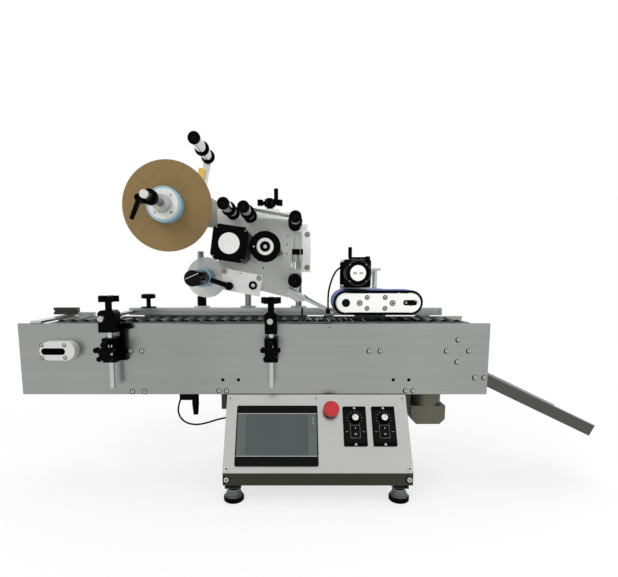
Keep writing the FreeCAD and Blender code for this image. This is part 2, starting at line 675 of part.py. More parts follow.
def infeed_fittings():
    """The plate across the beam at the idler end, with a grooved block and a bar."""
    plate_left = idler_x - wheel_radius_pitch - s.crossbar_gap
    node("infeed_fittings", box("crossbar_plate", plate_left, 0, s.beam_top, s.crossbar_width,
                                s.beam_width, s.crossbar_thick))
    left = s.slot_block_left
    right = left + s.slot_block_length
    bottom = s.beam_top + s.crossbar_thick
    top = bottom + s.slot_block_height
    y = s.beam_width - s.slot_block_width
    block = prism("slot_block", "XZ_Plane",
                  [(left, bottom), (right, bottom), (right, top), (left, top)], y,
                  s.slot_block_width)
    groove = new_sketch(block, "XZ_Plane", y)
    low = (bottom + top - s.groove_width) / 2
    draw_polygon(groove, [(left - 1, low), (right + 1, low), (right + 1, low + s.groove_width),
                          (left - 1, low + s.groove_width)])
    pocket(block, groove, s.groove_depth, True)
    node("infeed_fittings", block)
    bar = box("holed_bar_box", s.holed_bar_x, s.beam_width - s.holed_bar_width, s.beam_top,
              s.holed_bar_length, s.holed_bar_width, s.holed_bar_height)
    node("infeed_fittings", bar)


def cable_junction():
    """The block under the front lip that the box cable leaves, with a tapered plug."""
    middle_y = s.junction_front_y + s.junction_depth / 2
    block = box("junction_block", s.junction_x, s.junction_front_y,
                beam_bottom - s.junction_height, s.junction_width, s.junction_depth,
                s.junction_height)
    plug = turned("junction_plug", [
        (0, 0), (s.plug_radius, 0), (s.plug_radius, -s.plug_length / 2),
        (s.plug_tip_radius, -s.plug_length), (0, -s.plug_length)], "Z")
    place(plug, s.plug_x, middle_y, beam_bottom)
    node("infeed_fittings", fuse("junction_fused", [block, plug]))


def cable(name, points):
    """A bent cable: straight runs joined by tangent arcs under one round section."""
    radius = float(s.cable_radius)
    spots = [Vec(*point) for point in points]
    edges = []
    start = spots[0]
    tightest = None
    for before, corner, after in zip(spots, spots[1:], spots[2:]):
        come = corner - before
        leave = after - corner
        turn = come.getAngle(leave)
        short = min(come.Length, leave.Length) * 0.45
        bend = short / math.tan(turn / 2)
        tightest = bend if tightest is None else min(tightest, bend)
        come.normalize()
        leave.normalize()
        inward = leave - come
        inward.normalize()
        middle = corner + inward * (bend / math.cos(turn / 2) - bend)
        edges.append(Part.LineSegment(start, corner - come * short).toShape())
        edges.append(Part.Arc(corner - come * short, middle, corner + leave * short).toShape())
        start = corner + leave * short
    edges.append(Part.LineSegment(start, spots[-1]).toShape())
    path = Part.Wire(edges)
    section = Part.Wire(Part.makeCircle(radius, spots[0], spots[1] - spots[0]))
    item = doc.addObject("Part::Feature", name + "_tube")
    item.Shape = path.makePipeShell([section], True, True)
    true_volume = path.Length * math.pi * radius ** 2
    print("%s: length %.1f, tightest bend %.1f, volume ratio %.4f"
          % (name, path.Length, tightest, item.Shape.Volume / true_volume))
    node(name, item)


def loose_cables():
    cable("box_cable", box_cable_points)
    cable("sensor_cable", sensor_cable_points)
    x, y, z = sensor_cable_points[0]
    plug = box("sensor_connector", x - s.connector_width / 2, y - s.connector_depth / 2,
               z - s.run_clearance - s.connector_height, s.connector_width, s.connector_depth,
               s.connector_height)
    node("sensor_cable", plug)


def slotted_rail(name, left, right, front_y, bottom):
    """A square extrusion with one long groove in its front and one in its top."""
    body = new_body(name)
    sketch = new_sketch(body, "YZ_Plane", left)
    back = front_y + s.rail_width
    top = bottom + s.rail_height
    low = bottom + (s.rail_height - s.groove_width) / 2
    near = front_y + (s.rail_width - s.groove_width) / 2
    draw_polygon(sketch, [
        (front_y, bottom), (back, bottom), (back, top), (near + s.groove_width, top),
        (near + s.groove_width, top - s.groove_depth), (near, top - s.groove_depth),
        (near, top), (front_y, top), (front_y, low + s.groove_width),
        (front_y + s.groove_depth, low + s.groove_width), (front_y + s.groove_depth, low),
        (front_y, low)])
    pad(body, sketch, right - left)
    return body


def outfeed_rail():
    """The fixed rear guide past the label head, with its end cap and feet."""
    y = s.out_rail_front_y
    node("outfeed_rail", slotted_rail("out_rail", s.out_rail_left, s.out_rail_right, y, s.rail_z))
    node("outfeed_rail", box("out_cap", s.out_rail_right, y, s.rail_z, s.out_cap, s.rail_width,
                             s.rail_height))
    feet = []
    low = s.rail_z - s.rail_foot_thick
    for i, x in enumerate((s.rail_foot_a_x, s.rail_foot_b_x)):
        feet.append(box("rail_foot%d" % i, x, y, low, s.rail_foot_width, s.beam_width - y,
                        s.rail_foot_thick))
        feet.append(box("rail_leg%d" % i, x, s.beam_width - s.top_lip, s.beam_top,
                        s.rail_foot_width, s.top_lip, low - s.beam_top))
    node("outfeed_rail", group("rail_feet_set", feet))


def deck(name, left, right, front_y):
    """A folded shelf that stands on the rear wall and reaches over the chain."""
    low = s.deck_top - s.deck_thick
    foot = s.beam_width - s.deck_foot
    return prism(name, "YZ_Plane", [
        (front_y, low), (foot, low), (foot, s.beam_top), (s.beam_width, s.beam_top),
        (s.beam_width, low), (s.deck_back_y, low), (s.deck_back_y, s.deck_top),
        (front_y, s.deck_top)], left, right - left)


def decks_and_posts():
    node("rear_decks", deck("rear_deck", s.deck_left, s.deck_right, s.deck_front_y))
    node("rear_decks", deck("press_shelf", s.press_deck_left, s.press_deck_right,
                            s.press_deck_front_y))
    posts = []
    for name, x, top in (("a", s.post_a_x, s.post_a_top), ("b", s.post_b_x, s.post_top),
                         ("c", s.post_c_x, s.post_top)):
        posts.append(rod("post_" + name, x, s.post_y, s.deck_top, s.post_radius,
                         top - s.deck_top, "Z"))
    node("posts", group("head_posts_set", posts))
    rings = []
    for name, x, y, inner in (("a", s.post_a_x, s.post_y, s.post_radius),
                              ("b", s.post_b_x, s.post_y, s.post_radius),
                              ("c", s.post_c_x, s.post_y, s.post_radius),
                              ("d", s.column_x, s.column_y, s.column_radius)):
        outer = inner + s.flange_width
        ring = turned("flange_" + name, [
            (inner, 0), (outer, 0), (outer, s.flange_rim),
            (inner + s.flange_collar, s.flange_height), (inner, s.flange_height)], "Z")
        rings.append(place(ring, x, y, s.deck_top))
    node("posts", group("post_flanges_set", rings))
    sleeve = turned("post_sleeve", [
        (s.post_radius, s.flange_height), (s.sleeve_radius, s.flange_height),
        (s.sleeve_radius, s.sleeve_height), (s.post_radius, s.sleeve_height)], "Z")
    node("posts", place(sleeve, s.post_a_x, s.post_y, s.deck_top))


def guide_brackets():
    """Brackets on the front wall: a clamp block bored for each lift rod."""
    items = []
    half = s.bracket_width / 2
    for name, x in (("a", s.clamp_a_x), ("b", s.clamp_b_x)):
        body = new_body("bracket_" + name)
        sketch = new_sketch(body, "XY_Plane", s.bracket_bottom)
        draw_polygon(sketch, [(x - half, s.bracket_front_y), (x + half, s.bracket_front_y),
                              (x + half, 0), (x - half, 0)])
        draw_circle(sketch, x, s.clamp_y, s.lift_rod_radius + s.post_clearance)
        pad(body, sketch, s.bracket_height)
        start = s.bracket_front_y - 1
        window = new_sketch(body, "XZ_Plane", start)
        low = s.bracket_bottom + s.bracket_jaw
        high = s.bracket_bottom + s.bracket_height - s.bracket_jaw
        draw_polygon(window, [(x - half - 1, low), (x + half + 1, low), (x + half + 1, high),
                              (x - half - 1, high)])
        pocket(body, window, s.clamp_y - s.bracket_window_gap - start, True)
        items.append(body)
    left = s.clamp_a_x + half
    stem = left + s.tee_stem_width
    right = left + s.tee_width
    under = s.tee_top - s.tee_bar_height
    items.append(prism("bracket_tee", "XZ_Plane", [
        (left, s.bracket_bottom), (stem, s.bracket_bottom), (stem, under), (right, under),
        (right, s.tee_top), (left, s.tee_top)], -s.tee_depth, s.tee_depth))
    node("guide_brackets", group("guide_brackets_set", items))


def lift_assembly():
    """The two upright rods with the blocks that hold the cross rods."""
    rods = [rod("lift_rod_a", s.clamp_a_x, s.clamp_y, s.lift_rod_bottom, s.lift_rod_radius,
                s.lift_rod_a_top - s.lift_rod_bottom, "Z"),
            rod("lift_rod_b", s.clamp_b_x, s.clamp_y, s.lift_rod_bottom, s.lift_rod_radius,
                s.lift_rod_b_top - s.lift_rod_bottom, "Z")]
    node("guide_lift", group("lift_rods_set", rods))
    blocks = []
    for name, x, z, rod_z, width in (
            ("a", s.clamp_a_x, s.lift_rod_a_top, s.guide_rod_a_z, s.clamp_block_width),
            ("b", s.clamp_b_x, s.lift_rod_b_top, s.guide_rod_b_z, s.clamp_block_b_width)):
        half = width / 2
        front = s.clamp_y - s.clamp_block_depth / 2
        body = new_body("lift_block_" + name)
        sketch = new_sketch(body, "XZ_Plane", front)
        top = z + s.clamp_block_height
        edge = s.clamp_chamfer
        draw_polygon(sketch, [
            (x - half, z), (x + half, z), (x + half, top - edge), (x + half - edge, top),
            (x - half + edge, top), (x - half, top - edge)])
        draw_circle(sketch, x, rod_z, s.guide_rod_radius + s.post_clearance)
        pad(body, sketch, s.clamp_block_depth)
        blocks.append(body)
    node("guide_lift", group("lift_blocks_set", blocks))


def guide_assembly():
    """The infeed side guide: a slotted rail on two rods that slide in the blocks."""
    rods = []
    tip = s.guide_rod_radius + s.guide_tip_extra
    tip_end = s.guide_rod_front_y + s.guide_tip_length
    for name, x, z in (("a", s.clamp_a_x, s.guide_rod_a_z), ("b", s.clamp_b_x, s.guide_rod_b_z)):
        body = turned("guide_rod_" + name, [
            (0, s.guide_rod_front_y), (tip, s.guide_rod_front_y), (tip, tip_end),
            (s.guide_rod_radius, tip_end), (s.guide_rod_radius, s.rail_front_y),
            (0, s.rail_front_y)])
        rods.append(place(body, x, 0, z))
    node("guide_rail", group("guide_rods_set", rods))
    node("guide_rail", slotted_rail("rail", s.clamp_a_x - s.rail_overhang, s.rail_right,
                                    s.rail_front_y, s.rail_z))
    node("guide_rail", box("rail_cap_box", s.rail_right, s.rail_front_y, s.rail_z, s.rail_cap,
                           s.rail_width, s.rail_height))


def star_knob(name, x, y, z, axis, stalk):
    """A five-armed hand knob on a round stalk; its stalk starts at the given spot."""
    parts = [rod(name + "_stalk", 0, 0, 0, s.stalk_radius, stalk, "Z"),
             rod(name + "_hub", 0, 0, stalk, s.star_hub_radius, s.star_height, "Z")]
    lobes = round(float(s.star_lobes))
    for lobe in range(lobes):
        turn = 360 / lobes * lobe + 90
        arm = box(name + "_arm%d" % lobe, 0, -s.star_arm_width / 2, stalk, s.star_reach,
                  s.star_arm_width, s.star_height)
        tip = rod(name + "_lobe%d" % lobe, s.star_reach, 0, stalk, s.star_lobe_radius,
                  s.star_height, "Z")
        whole = fuse(name + "_limb%d" % lobe, [arm, tip])
        parts.append(place(whole, 0, 0, 0, Vec(0, 0, 1), turn))
    knob = fuse(name + "_fused", parts)
    place(knob, x, y, z, *axis)
    node(name, knob)


def guide_knobs():
    up = (Vec(0, 0, 1), 0)
    ahead = (Vec(1, 0, 0), 90)
    top_a = s.lift_rod_a_top + s.clamp_block_height + s.run_clearance
    top_b = s.lift_rod_b_top + s.clamp_block_height + s.run_clearance
    star_knob("top_knob_a", s.clamp_a_x, s.clamp_y, top_a, up, s.top_stalk_height)
    star_knob("top_knob_b", s.clamp_b_x, s.clamp_y, top_b, up, s.top_stalk_height)
    z = s.bracket_bottom + s.bracket_height / 2
    front = s.clamp_y - s.lift_rod_radius - s.run_clearance
    stalk = front - s.star_knob_front_y
    star_knob("star_knob_a", s.clamp_a_x, front, z, ahead, stalk)
    star_knob("star_knob_b", s.clamp_b_x, front, z, ahead, stalk)
    radius = s.rear_knob_radius
    low = s.rear_stalk_height
    high = low + s.rear_knob_height
    knob = turned("rear_knob_turn", [
        (0, 0), (s.rear_base_radius, 0), (s.rear_base_radius, s.rear_base_height),
        (s.rear_stalk_radius, s.rear_base_height), (s.rear_stalk_radius, low),
        (radius, low + s.rear_knob_crown), (radius, high),
        (radius - s.rear_knob_edge, high + s.rear_knob_crown), (0, high + s.rear_knob_crown)],
        "Z")
    place(knob, s.rear_knob_x, s.rear_knob_y, s.rail_z + s.rail_height + s.run_clearance)
    node("rear_knob", knob)


def control_box():
    """A sheet housing with a sloped front, closed by a cover at its back."""
    thick = s.box_sheet
    top = beam_bottom
    body = prism("housing", "YZ_Plane", [
        (0, top), (panel_foot_y, panel_foot_z), (panel_foot_y, s.box_bottom),
        (s.box_back_y - thick, s.box_bottom), (s.box_back_y - thick, top)],
        s.box_left, s.box_right - s.box_left)
    inner = new_sketch(body, "YZ_Plane", s.box_left + thick)
    draw_polygon(inner, [
        (thick * 1.5, top - thick), (panel_foot_y + thick, panel_foot_z - thick * 0.5),
        (panel_foot_y + thick, s.box_bottom + thick), (s.box_back_y, s.box_bottom + thick),
        (s.box_back_y, top - thick)])
    feature = body.newObject("PartDesign::Pocket", "housing_hollow")
    feature.Profile = inner
    bind(feature, "Length", s.box_right - s.box_left - thick * 2)
    feature.Reversed = True
    doc.recompute()
    node("control_box", body)
    cover = box("cover", s.box_left, s.box_back_y - thick, s.box_bottom,
                s.box_right - s.box_left, thick, top - s.box_bottom)
    node("control_box", cover)


def on_panel(item, x, drop, lift=0):
    """Stand an object on the sloped panel, its drop measured down from the panel's top."""
    along = s.panel_length - drop
    rise = lift
    y = panel_foot_y + along * cosine(s.panel_angle) - rise * sine(s.panel_angle)
    z = panel_foot_z + along * sine(s.panel_angle) + rise * cosine(s.panel_angle)
    return place(item, x, y, z, Vec(1, 0, 0), s.panel_angle)


def sloped_plate(name, width, height, thick, corner):
    """A plate in the panel's own plane, its lower left corner at its origin."""
    body = prism(name, "XY_Plane", [(0, 0), (width, 0), (width, height), (0, height)], 0, thick)
    if corner is not None:
        dress(body, "Fillet", edges_along(body.Shape, Vec(0, 0, 1)), corner)
    return body


def operator_screen():
    """The screen's frame with its recess and the glass in it."""
    frame = sloped_plate("screen_frame", s.hmi_width, s.hmi_height, s.hmi_thick, s.hmi_corner)
    recess = new_sketch(frame, "XY_Plane", s.hmi_thick)
    right = s.lcd_left + s.lcd_width
    top = s.lcd_bottom + s.lcd_height
    draw_polygon(recess, [(s.lcd_left, s.lcd_bottom), (right, s.lcd_bottom), (right, top),
                          (s.lcd_left, top)])
    pocket(frame, recess, s.lcd_recess, False)
    low = hmi_top + s.hmi_height
    node("panel_fittings", on_panel(frame, s.hmi_left, low, s.panel_thick))
    glass = sloped_plate("screen_glass", s.lcd_width, s.lcd_height, s.lcd_glass_thick, None)
    node("panel_fittings", on_panel(glass, s.hmi_left + s.lcd_left, low - s.lcd_bottom,
                                    s.panel_thick + s.hmi_thick - s.lcd_recess))


def speed_controls():
    """Two control plates, each with a dial above a rocker switch."""
    plates = []
    lift = s.panel_thick + s.control_thick + s.run_clearance
    for side, letter in enumerate("ab"):
        left = s.control_left + side * (s.control_width + s.control_gap)
        middle = left + s.control_width / 2
        plate = sloped_plate("control_plate_" + letter, s.control_width, s.control_height,
                             s.control_thick, s.hmi_corner)
        plates.append(on_panel(plate, left, control_top + s.control_height, s.panel_thick))
        dial = turned("dial_" + letter, [
            (0, 0), (s.dial_radius, 0), (s.dial_radius * s.dial_taper, s.dial_height),
            (0, s.dial_height)], "Z")
        node("speed_dial_" + letter, on_panel(dial, middle, control_top + s.dial_drop, lift))
        half = s.rocker_height / 2
        rocker = prism("rocker_solid_" + letter, "YZ_Plane", [
            (-half, s.rocker_keel), (0, 0), (half, s.rocker_keel), (half, s.rocker_proud),
            (0, s.rocker_proud * s.rocker_dip), (-half, s.rocker_proud)],
            -s.rocker_width / 2, s.rocker_width)
        node("rocker_" + letter, on_panel(rocker, middle, control_top + s.rocker_drop, lift))
    node("panel_fittings", group("control_plates_set", plates))


def stop_switch():
    """The emergency stop: a fixed collar and the mushroom button that slides in it."""
    bore = s.stop_stem_radius + s.run_clearance
    collar = turned("stop_collar_turn", [
        (bore, 0), (s.stop_collar_radius, 0),
        (s.stop_collar_radius - s.stop_collar_edge, s.stop_collar_height),
        (bore, s.stop_collar_height)], "Z")
    node("panel_fittings", on_panel(collar, s.stop_x, stop_drop, s.panel_thick))
    foot = s.stop_travel_gap + s.run_clearance
    base = s.stop_collar_height + s.stop_travel_gap
    side = base + s.stop_head_height * s.stop_head_side
    top = base + s.stop_head_height
    button = turned("stop_button_turn", [
        (0, foot), (s.stop_stem_radius, foot), (s.stop_stem_radius, base),
        (s.stop_head_radius, base), (s.stop_head_radius, side),
        (s.stop_head_radius * s.stop_head_crown, top), (0, top)], "Z")
    node("stop_button", on_panel(button, s.stop_x, stop_drop, s.panel_thick))


def panel_items():
    panel = sloped_plate("panel", s.box_right - s.box_left, s.panel_length, s.panel_thick, None)
    node("control_panel", on_panel(panel, s.box_left, s.panel_length))
    operator_screen()
    speed_controls()
    stop_switch()


def panel_screws():
    """Screws at the panel's edges and on the band below it; none under the screen."""
    items = []
    left = s.box_left + s.panel_screw_inset
    right = s.box_right - s.panel_screw_inset
    middle = (s.box_left + s.box_right) / 2
    high = s.panel_screw_drop
    low = s.panel_length - s.panel_screw_drop
    for i, (x, drop) in enumerate(((left, high), (middle, high), (right, high), (left, low),
                                   (right, low))):
        head = turned("panel_screw%d" % i, [
            (0, 0), (s.screw_radius, 0), (s.screw_radius, s.screw_height * s.screw_side),
            (s.screw_radius * s.screw_crown, s.screw_height), (0, s.screw_height)], "Z")
        items.append(on_panel(head, x, drop, s.panel_thick))
    band_z = (s.box_bottom + panel_foot_z) / 2
    for i, x in enumerate((left, right)):
        items.append(screw("band_screw%d" % i, x, panel_foot_y, band_z, s.screw_radius,
                           s.screw_height))
    node("screws", group("panel_screws_set", items))


def hangers():
    """Bars below the beam that the control box hangs between."""
    items = []
    low = beam_bottom - s.hanger_drop
    y = s.hanger_inset
    depth = s.beam_width - s.hanger_inset * 2
    right_toe = s.hanger_right_x + s.hanger_width - s.box_right
    for name, x, toe_x, reach in (
            ("a", s.hanger_left_x, s.hanger_left_x, s.box_left - s.hanger_left_x),
            ("b", s.hanger_right_x, s.box_right, right_toe)):
        items.append(fuse("hanger_" + name, [
            box("hanger_leg_" + name, x, y, low, s.hanger_width, depth, s.hanger_drop),
            box("hanger_toe_" + name, toe_x, y, low, reach, depth, s.hanger_toe)]))
    node("box_brackets", group("hangers_set", items))


def foot_tab(name, x, y, bottom):
    """A folded channel under the box that a foot screws into."""
    left = x - s.foot_tab_width / 2
    near = y - s.foot_tab_depth / 2
    thick = s.foot_tab_thick
    return fuse("tab" + name, [
        box("tab_floor" + name, left, near, bottom, s.foot_tab_width, s.foot_tab_depth, thick),
        box("tab_side" + name, left, near, bottom, thick, s.foot_tab_depth, s.foot_tab_drop),
        box("tab_other" + name, left + s.foot_tab_width - thick, near, bottom, thick,
            s.foot_tab_depth, s.foot_tab_drop)])


def feet_and_tabs():
    tabs = []
    feet = []
    tab_z = s.box_bottom - s.foot_tab_drop
    pad_radius = s.foot_pad_radius
    for i, x in enumerate((s.foot_left_x, s.foot_right_x)):
        for k, y in enumerate((s.foot_front_y, s.foot_back_y)):
            name = "%d%d" % (i, k)
            tabs.append(foot_tab(name, x, y, tab_z))
            foot = turned("foot" + name, [
                (0, 0), (pad_radius - s.foot_edge, 0), (pad_radius, s.foot_edge),
                (pad_radius, s.foot_pad_height), (s.foot_ring_radius, s.foot_ring_z),
                (s.foot_cone_radius, s.foot_cone_top - s.foot_edge),
                (s.foot_neck_radius, s.foot_cone_top), (s.foot_neck_radius, tab_z), (0, tab_z)],
                "Z")
            feet.append(place(foot, x, y, 0))
    node("box_brackets", group("foot_tabs_set", tabs))
    node("levelling_feet", group("levelling_feet_set", feet))


def outfeed_chute():
    """An open sheet channel that carries products down and away from the last roller."""
    t = s.chute_sheet
    near = s.sheet_thick
    body = new_body("chute")
    sketch = new_sketch(body, "YZ_Plane")
    draw_polygon(sketch, [
        (near, 0), (s.chute_back_y, 0), (s.chute_back_y, s.chute_wall),
        (s.chute_back_y - t, s.chute_wall), (s.chute_back_y - t, t), (near + t, t),
        (near + t, s.chute_wall), (near, s.chute_wall)])
    pad(body, sketch, s.chute_length)
    place(body, s.chute_start_x, 0, s.chute_start_z, Vec(0, 1, 0), s.chute_slope)
    node("outfeed_chute", body)


def gearmotor():
    """The drive's gearmotor on a round neck below the beam."""
    left = s.gear_x - s.gear_width / 2
    right = s.gear_x + s.gear_width / 2
    near = s.gear_y - s.gear_depth / 2
    far = s.gear_y + s.gear_depth / 2
    body = prism("gear_case", "XY_Plane",
                 [(left, near), (right, near), (right, far), (left, far)], s.gear_bottom,
                 s.gear_neck_bottom - s.gear_bottom)
    low = float(s.gear_bottom)
    dress(body, "Chamfer", edges_along(body.Shape, Vec(0, 1, 0), lambda at: at.z < low + 1),
          s.gear_chamfer)
    neck = rod("gear_neck", s.gear_x, s.gear_y, s.gear_neck_bottom, s.gear_neck_radius,
               beam_bottom - s.gear_neck_bottom, "Z")
    shelf = box("gear_shelf", left, s.bottom_lip, beam_bottom, s.gear_width,
                s.beam_width - s.bottom_lip * 2, s.sheet_thick)
    node("drive_gearmotor", fuse("gearmotor_fused", [body, neck, shelf]))
    node("cross_members", box("gear_plate", left, s.sheet_thick, beam_bottom + s.sheet_thick,
                              s.gear_width, inner_width, s.gear_plate_thick))


def head_frame():
    """The head's face plate and the narrow plate at its outfeed side."""
    body = new_body("face_plate")
    sketch = new_sketch(body, "XZ_Plane", s.head_plate_y)
    draw_polygon(sketch, [(as_size(x), as_size(z)) for x, z in face_plate_points])
    draw_circle(sketch, s.drive_roll_x, s.drive_roll_z, s.roll_shaft_radius + running)
    pad(body, sketch, s.head_plate_thick)
    node("head_plate", body)
    node("head_plate", box("side_plate_box", s.side_plate_left, s.head_plate_y,
                           s.side_plate_bottom, s.side_plate_right - s.side_plate_left,
                           s.head_plate_thick, s.side_plate_top - s.side_plate_bottom))


def head_housing():
    """The carriage bored for two posts, the cover on it and the cover's boss."""
    carriage = new_body("carriage")
    outline = new_sketch(carriage, "XY_Plane", s.carriage_bottom)
    draw_polygon(outline, [
        (s.carriage_left, plate_back_y), (s.carriage_right, plate_back_y),
        (s.carriage_right, s.carriage_back_y), (s.carriage_left, s.carriage_back_y)])
    for x in (s.post_b_x, s.post_c_x):
        draw_circle(outline, x, s.post_y, s.post_radius + s.post_clearance)
    pad(carriage, outline, s.carriage_top - s.carriage_bottom)
    node("head_housing", carriage)
    cover = new_body("head_cover")
    sketch = new_sketch(cover, "YZ_Plane", s.housing_left)
    slant = s.housing_slant
    draw_polygon(sketch, [
        (plate_back_y, s.carriage_top), (s.housing_back_y, s.carriage_top),
        (s.housing_back_y, s.housing_top - slant), (s.housing_back_y - slant, s.housing_top),
        (plate_back_y, s.housing_top)])
    pad(cover, sketch, s.housing_right - s.housing_left)
    well = new_sketch(cover, "XY_Plane", s.carriage_top)
    draw_circle(well, s.post_c_x, s.post_y, s.post_radius + s.post_well_margin)
    pocket(cover, well, s.post_well_depth, True)
    near = float(plate_back_y) + 1
    dress(cover, "Fillet", edges_along(cover.Shape, Vec(0, 0, 1), lambda at: at.y < near),
          s.housing_edge)
    node("head_housing", cover)
    node("head_housing", box("cover_boss_box", s.boss_left, plate_back_y + s.boss_gap,
                             s.housing_top, s.boss_right - s.boss_left, s.boss_depth,
                             s.boss_height))


def head_knob():
    """The four-armed hand wheel on top of the head, with one upright grip."""
    parts = [rod("wheel_stem", 0, 0, 0, s.wheel_stem_radius, s.wheel_stem_height, "Z"),
             rod("wheel_hub", 0, 0, s.wheel_hub_z, s.wheel_hub_radius, s.wheel_hub_height, "Z"),
             rod("wheel_grip", s.wheel_grip_x, 0, s.wheel_grip_z, s.wheel_grip_radius,
                 s.wheel_grip_height, "Z")]
    for turn in range(4):
        across = float(cosine(turn * 90))
        along = float(sine(turn * 90))
        arm = rod("wheel_arm%d" % turn, 0, 0, 0, s.wheel_arm_radius, s.wheel_arm_length, "Z")
        parts.append(place(arm, 0, 0, s.wheel_arm_z, Vec(across, along, 0), 90))
        parts.append(rod("wheel_tip%d" % turn, s.wheel_reach * cosine(turn * 90),
                         s.wheel_reach * sine(turn * 90), s.wheel_tip_z, s.wheel_tip_radius,
                         s.wheel_tip_height, "Z"))
    wheel = fuse("head_knob_fused", parts)
    place(wheel, (s.boss_left + s.boss_right) / 2, plate_back_y + s.wheel_y,
          s.housing_top + s.boss_height + s.run_clearance)
    node("head_knob", wheel)


def guide_roller(name, x, z):
    """A label guide roller: capped tube with two raised rings and a pin bore."""
    tube = s.guide_roller_radius
    ring = s.guide_ring_radius
    wide = s.guide_ring_width
    front = s.guide_front_y
    cap_end = front + s.guide_cap_length
    middle = (cap_end + guide_back_y) / 2
    bore = s.guide_pin_radius + running
    bore_end = guide_back_y - s.guide_pin_length - 1
    body = turned(name + "_turn", [
        (0, front), (s.guide_cap_radius, front), (s.guide_cap_radius, cap_end), (tube, cap_end),
        (tube, middle), (ring, middle), (ring, middle + wide), (tube, middle + wide),
        (tube, guide_back_y - wide), (ring, guide_back_y - wide), (ring, guide_back_y),
        (bore, guide_back_y), (bore, bore_end), (0, bore_end)])
    place(body, x, 0, z)
    node(name, body)


def roller_pin(name, x, z):
    return rod(name, x, guide_back_y - s.guide_pin_length, z, s.guide_pin_radius,
               s.guide_pin_length + s.head_gap)


def guide_rollers():
    pins = []
    for name, x, z in (("a", s.guide_a_x, s.guide_a_z), ("b", s.guide_b_x, s.guide_b_z),
                       ("c", s.guide_c_x, s.guide_c_z), ("d", s.guide_d_x, s.guide_d_z)):
        guide_roller("guide_roller_" + name, x, z)
        pins.append(roller_pin("guide_pin_" + name, x, z))
    node("head_plate", group("guide_pins_set", pins))
    guide_roller("dancer_roller", s.dancer_x, s.dancer_z)


def dancer_arm():
    """The swinging arm that keeps the label web tight."""
    dx = s.dancer_x - s.dancer_pivot_x
    dz = s.dancer_z - s.dancer_pivot_z
    length = Size(math.hypot(dx.value, dz.value),
                  "sqrt((%s)^2 + (%s)^2)" % (dx.formula, dz.formula))
    lean = math.degrees(math.atan2(dx.value, dz.value))
    half = s.dancer_width / 2
    tip = half * s.dancer_taper
    body = new_body("dancer")
    sketch = new_sketch(body, "XZ_Plane")
    draw_polygon(sketch, [(-half, -half), (half, -half), (tip, length + tip),
                          (-tip, length + tip)])
    draw_circle(sketch, 0, 0, s.guide_pin_radius + running)
    pad(body, sketch, s.dancer_thick)
    dress(body, "Fillet", edges_along(body.Shape, Vec(0, 1, 0)), s.dancer_corner)
    place(body, s.dancer_pivot_x, s.head_plate_y, s.dancer_pivot_z, Vec(0, 1, 0), lean)
    node("dancer_arm", body)
    node("dancer_arm", roller_pin("dancer_pin_rod", s.dancer_x, s.dancer_z))
    node("dancer_arm", prism("dancer_tab", "XZ_Plane", dancer_tab_points,
                             s.head_plate_y - s.dancer_tab_thick, s.dancer_tab_thick))


def reel_arm():
    """The arm behind the reel, with the reel's bearing and the dancer's pin."""
    body = new_body("arm")
    sketch = new_sketch(body, "XZ_Plane", plate_back_y + s.head_gap)
    draw_polygon(sketch, [(as_size(x), as_size(z)) for x, z in reel_arm_points])
    draw_circle(sketch, s.reel_x, s.reel_z, s.reel_shaft_radius + running)
    pad(body, sketch, s.head_plate_thick)
    pin_start = s.head_plate_y - s.pivot_pin_proud
    pin = rod("dancer_pivot_pin", s.dancer_pivot_x, pin_start, s.dancer_pivot_z,
              s.guide_pin_radius, plate_back_y + s.head_gap * 2 - pin_start)
    spacer = box("arm_spacer", s.spacer_x, plate_back_y, s.spacer_z, s.spacer_length,
                 s.head_gap, s.spacer_height)
    node("reel_arm", fuse("reel_arm_fused", [body, pin, spacer]))


def ring_solid(name, inner, outer, front, back):
    """A plain ring or tube about Y between two distances."""
    return turned(name, [(inner, front), (outer, front), (outer, back), (inner, back)])


def on_reel(item):
    return place(item, s.reel_x, 0, s.reel_z)


def label_reel():
    """The cardboard disc, the core tube and the roll of labels on it."""
    disc_back = s.reel_disc_y + s.reel_disc_thick
    back = s.head_plate_y - s.core_back_gap
    for name, inner, outer, front, end in (
            ("disc", s.core_radius, s.reel_disc_radius, s.reel_disc_y, disc_back),
            ("core", s.core_bore, s.core_radius, s.core_front_y, back),
            ("roll", s.core_radius, s.core_radius + s.roll_thick, disc_back,
             s.head_plate_y - s.roll_back_gap)):
        node("label_reel", on_reel(ring_solid(name, inner, outer, front, end)))


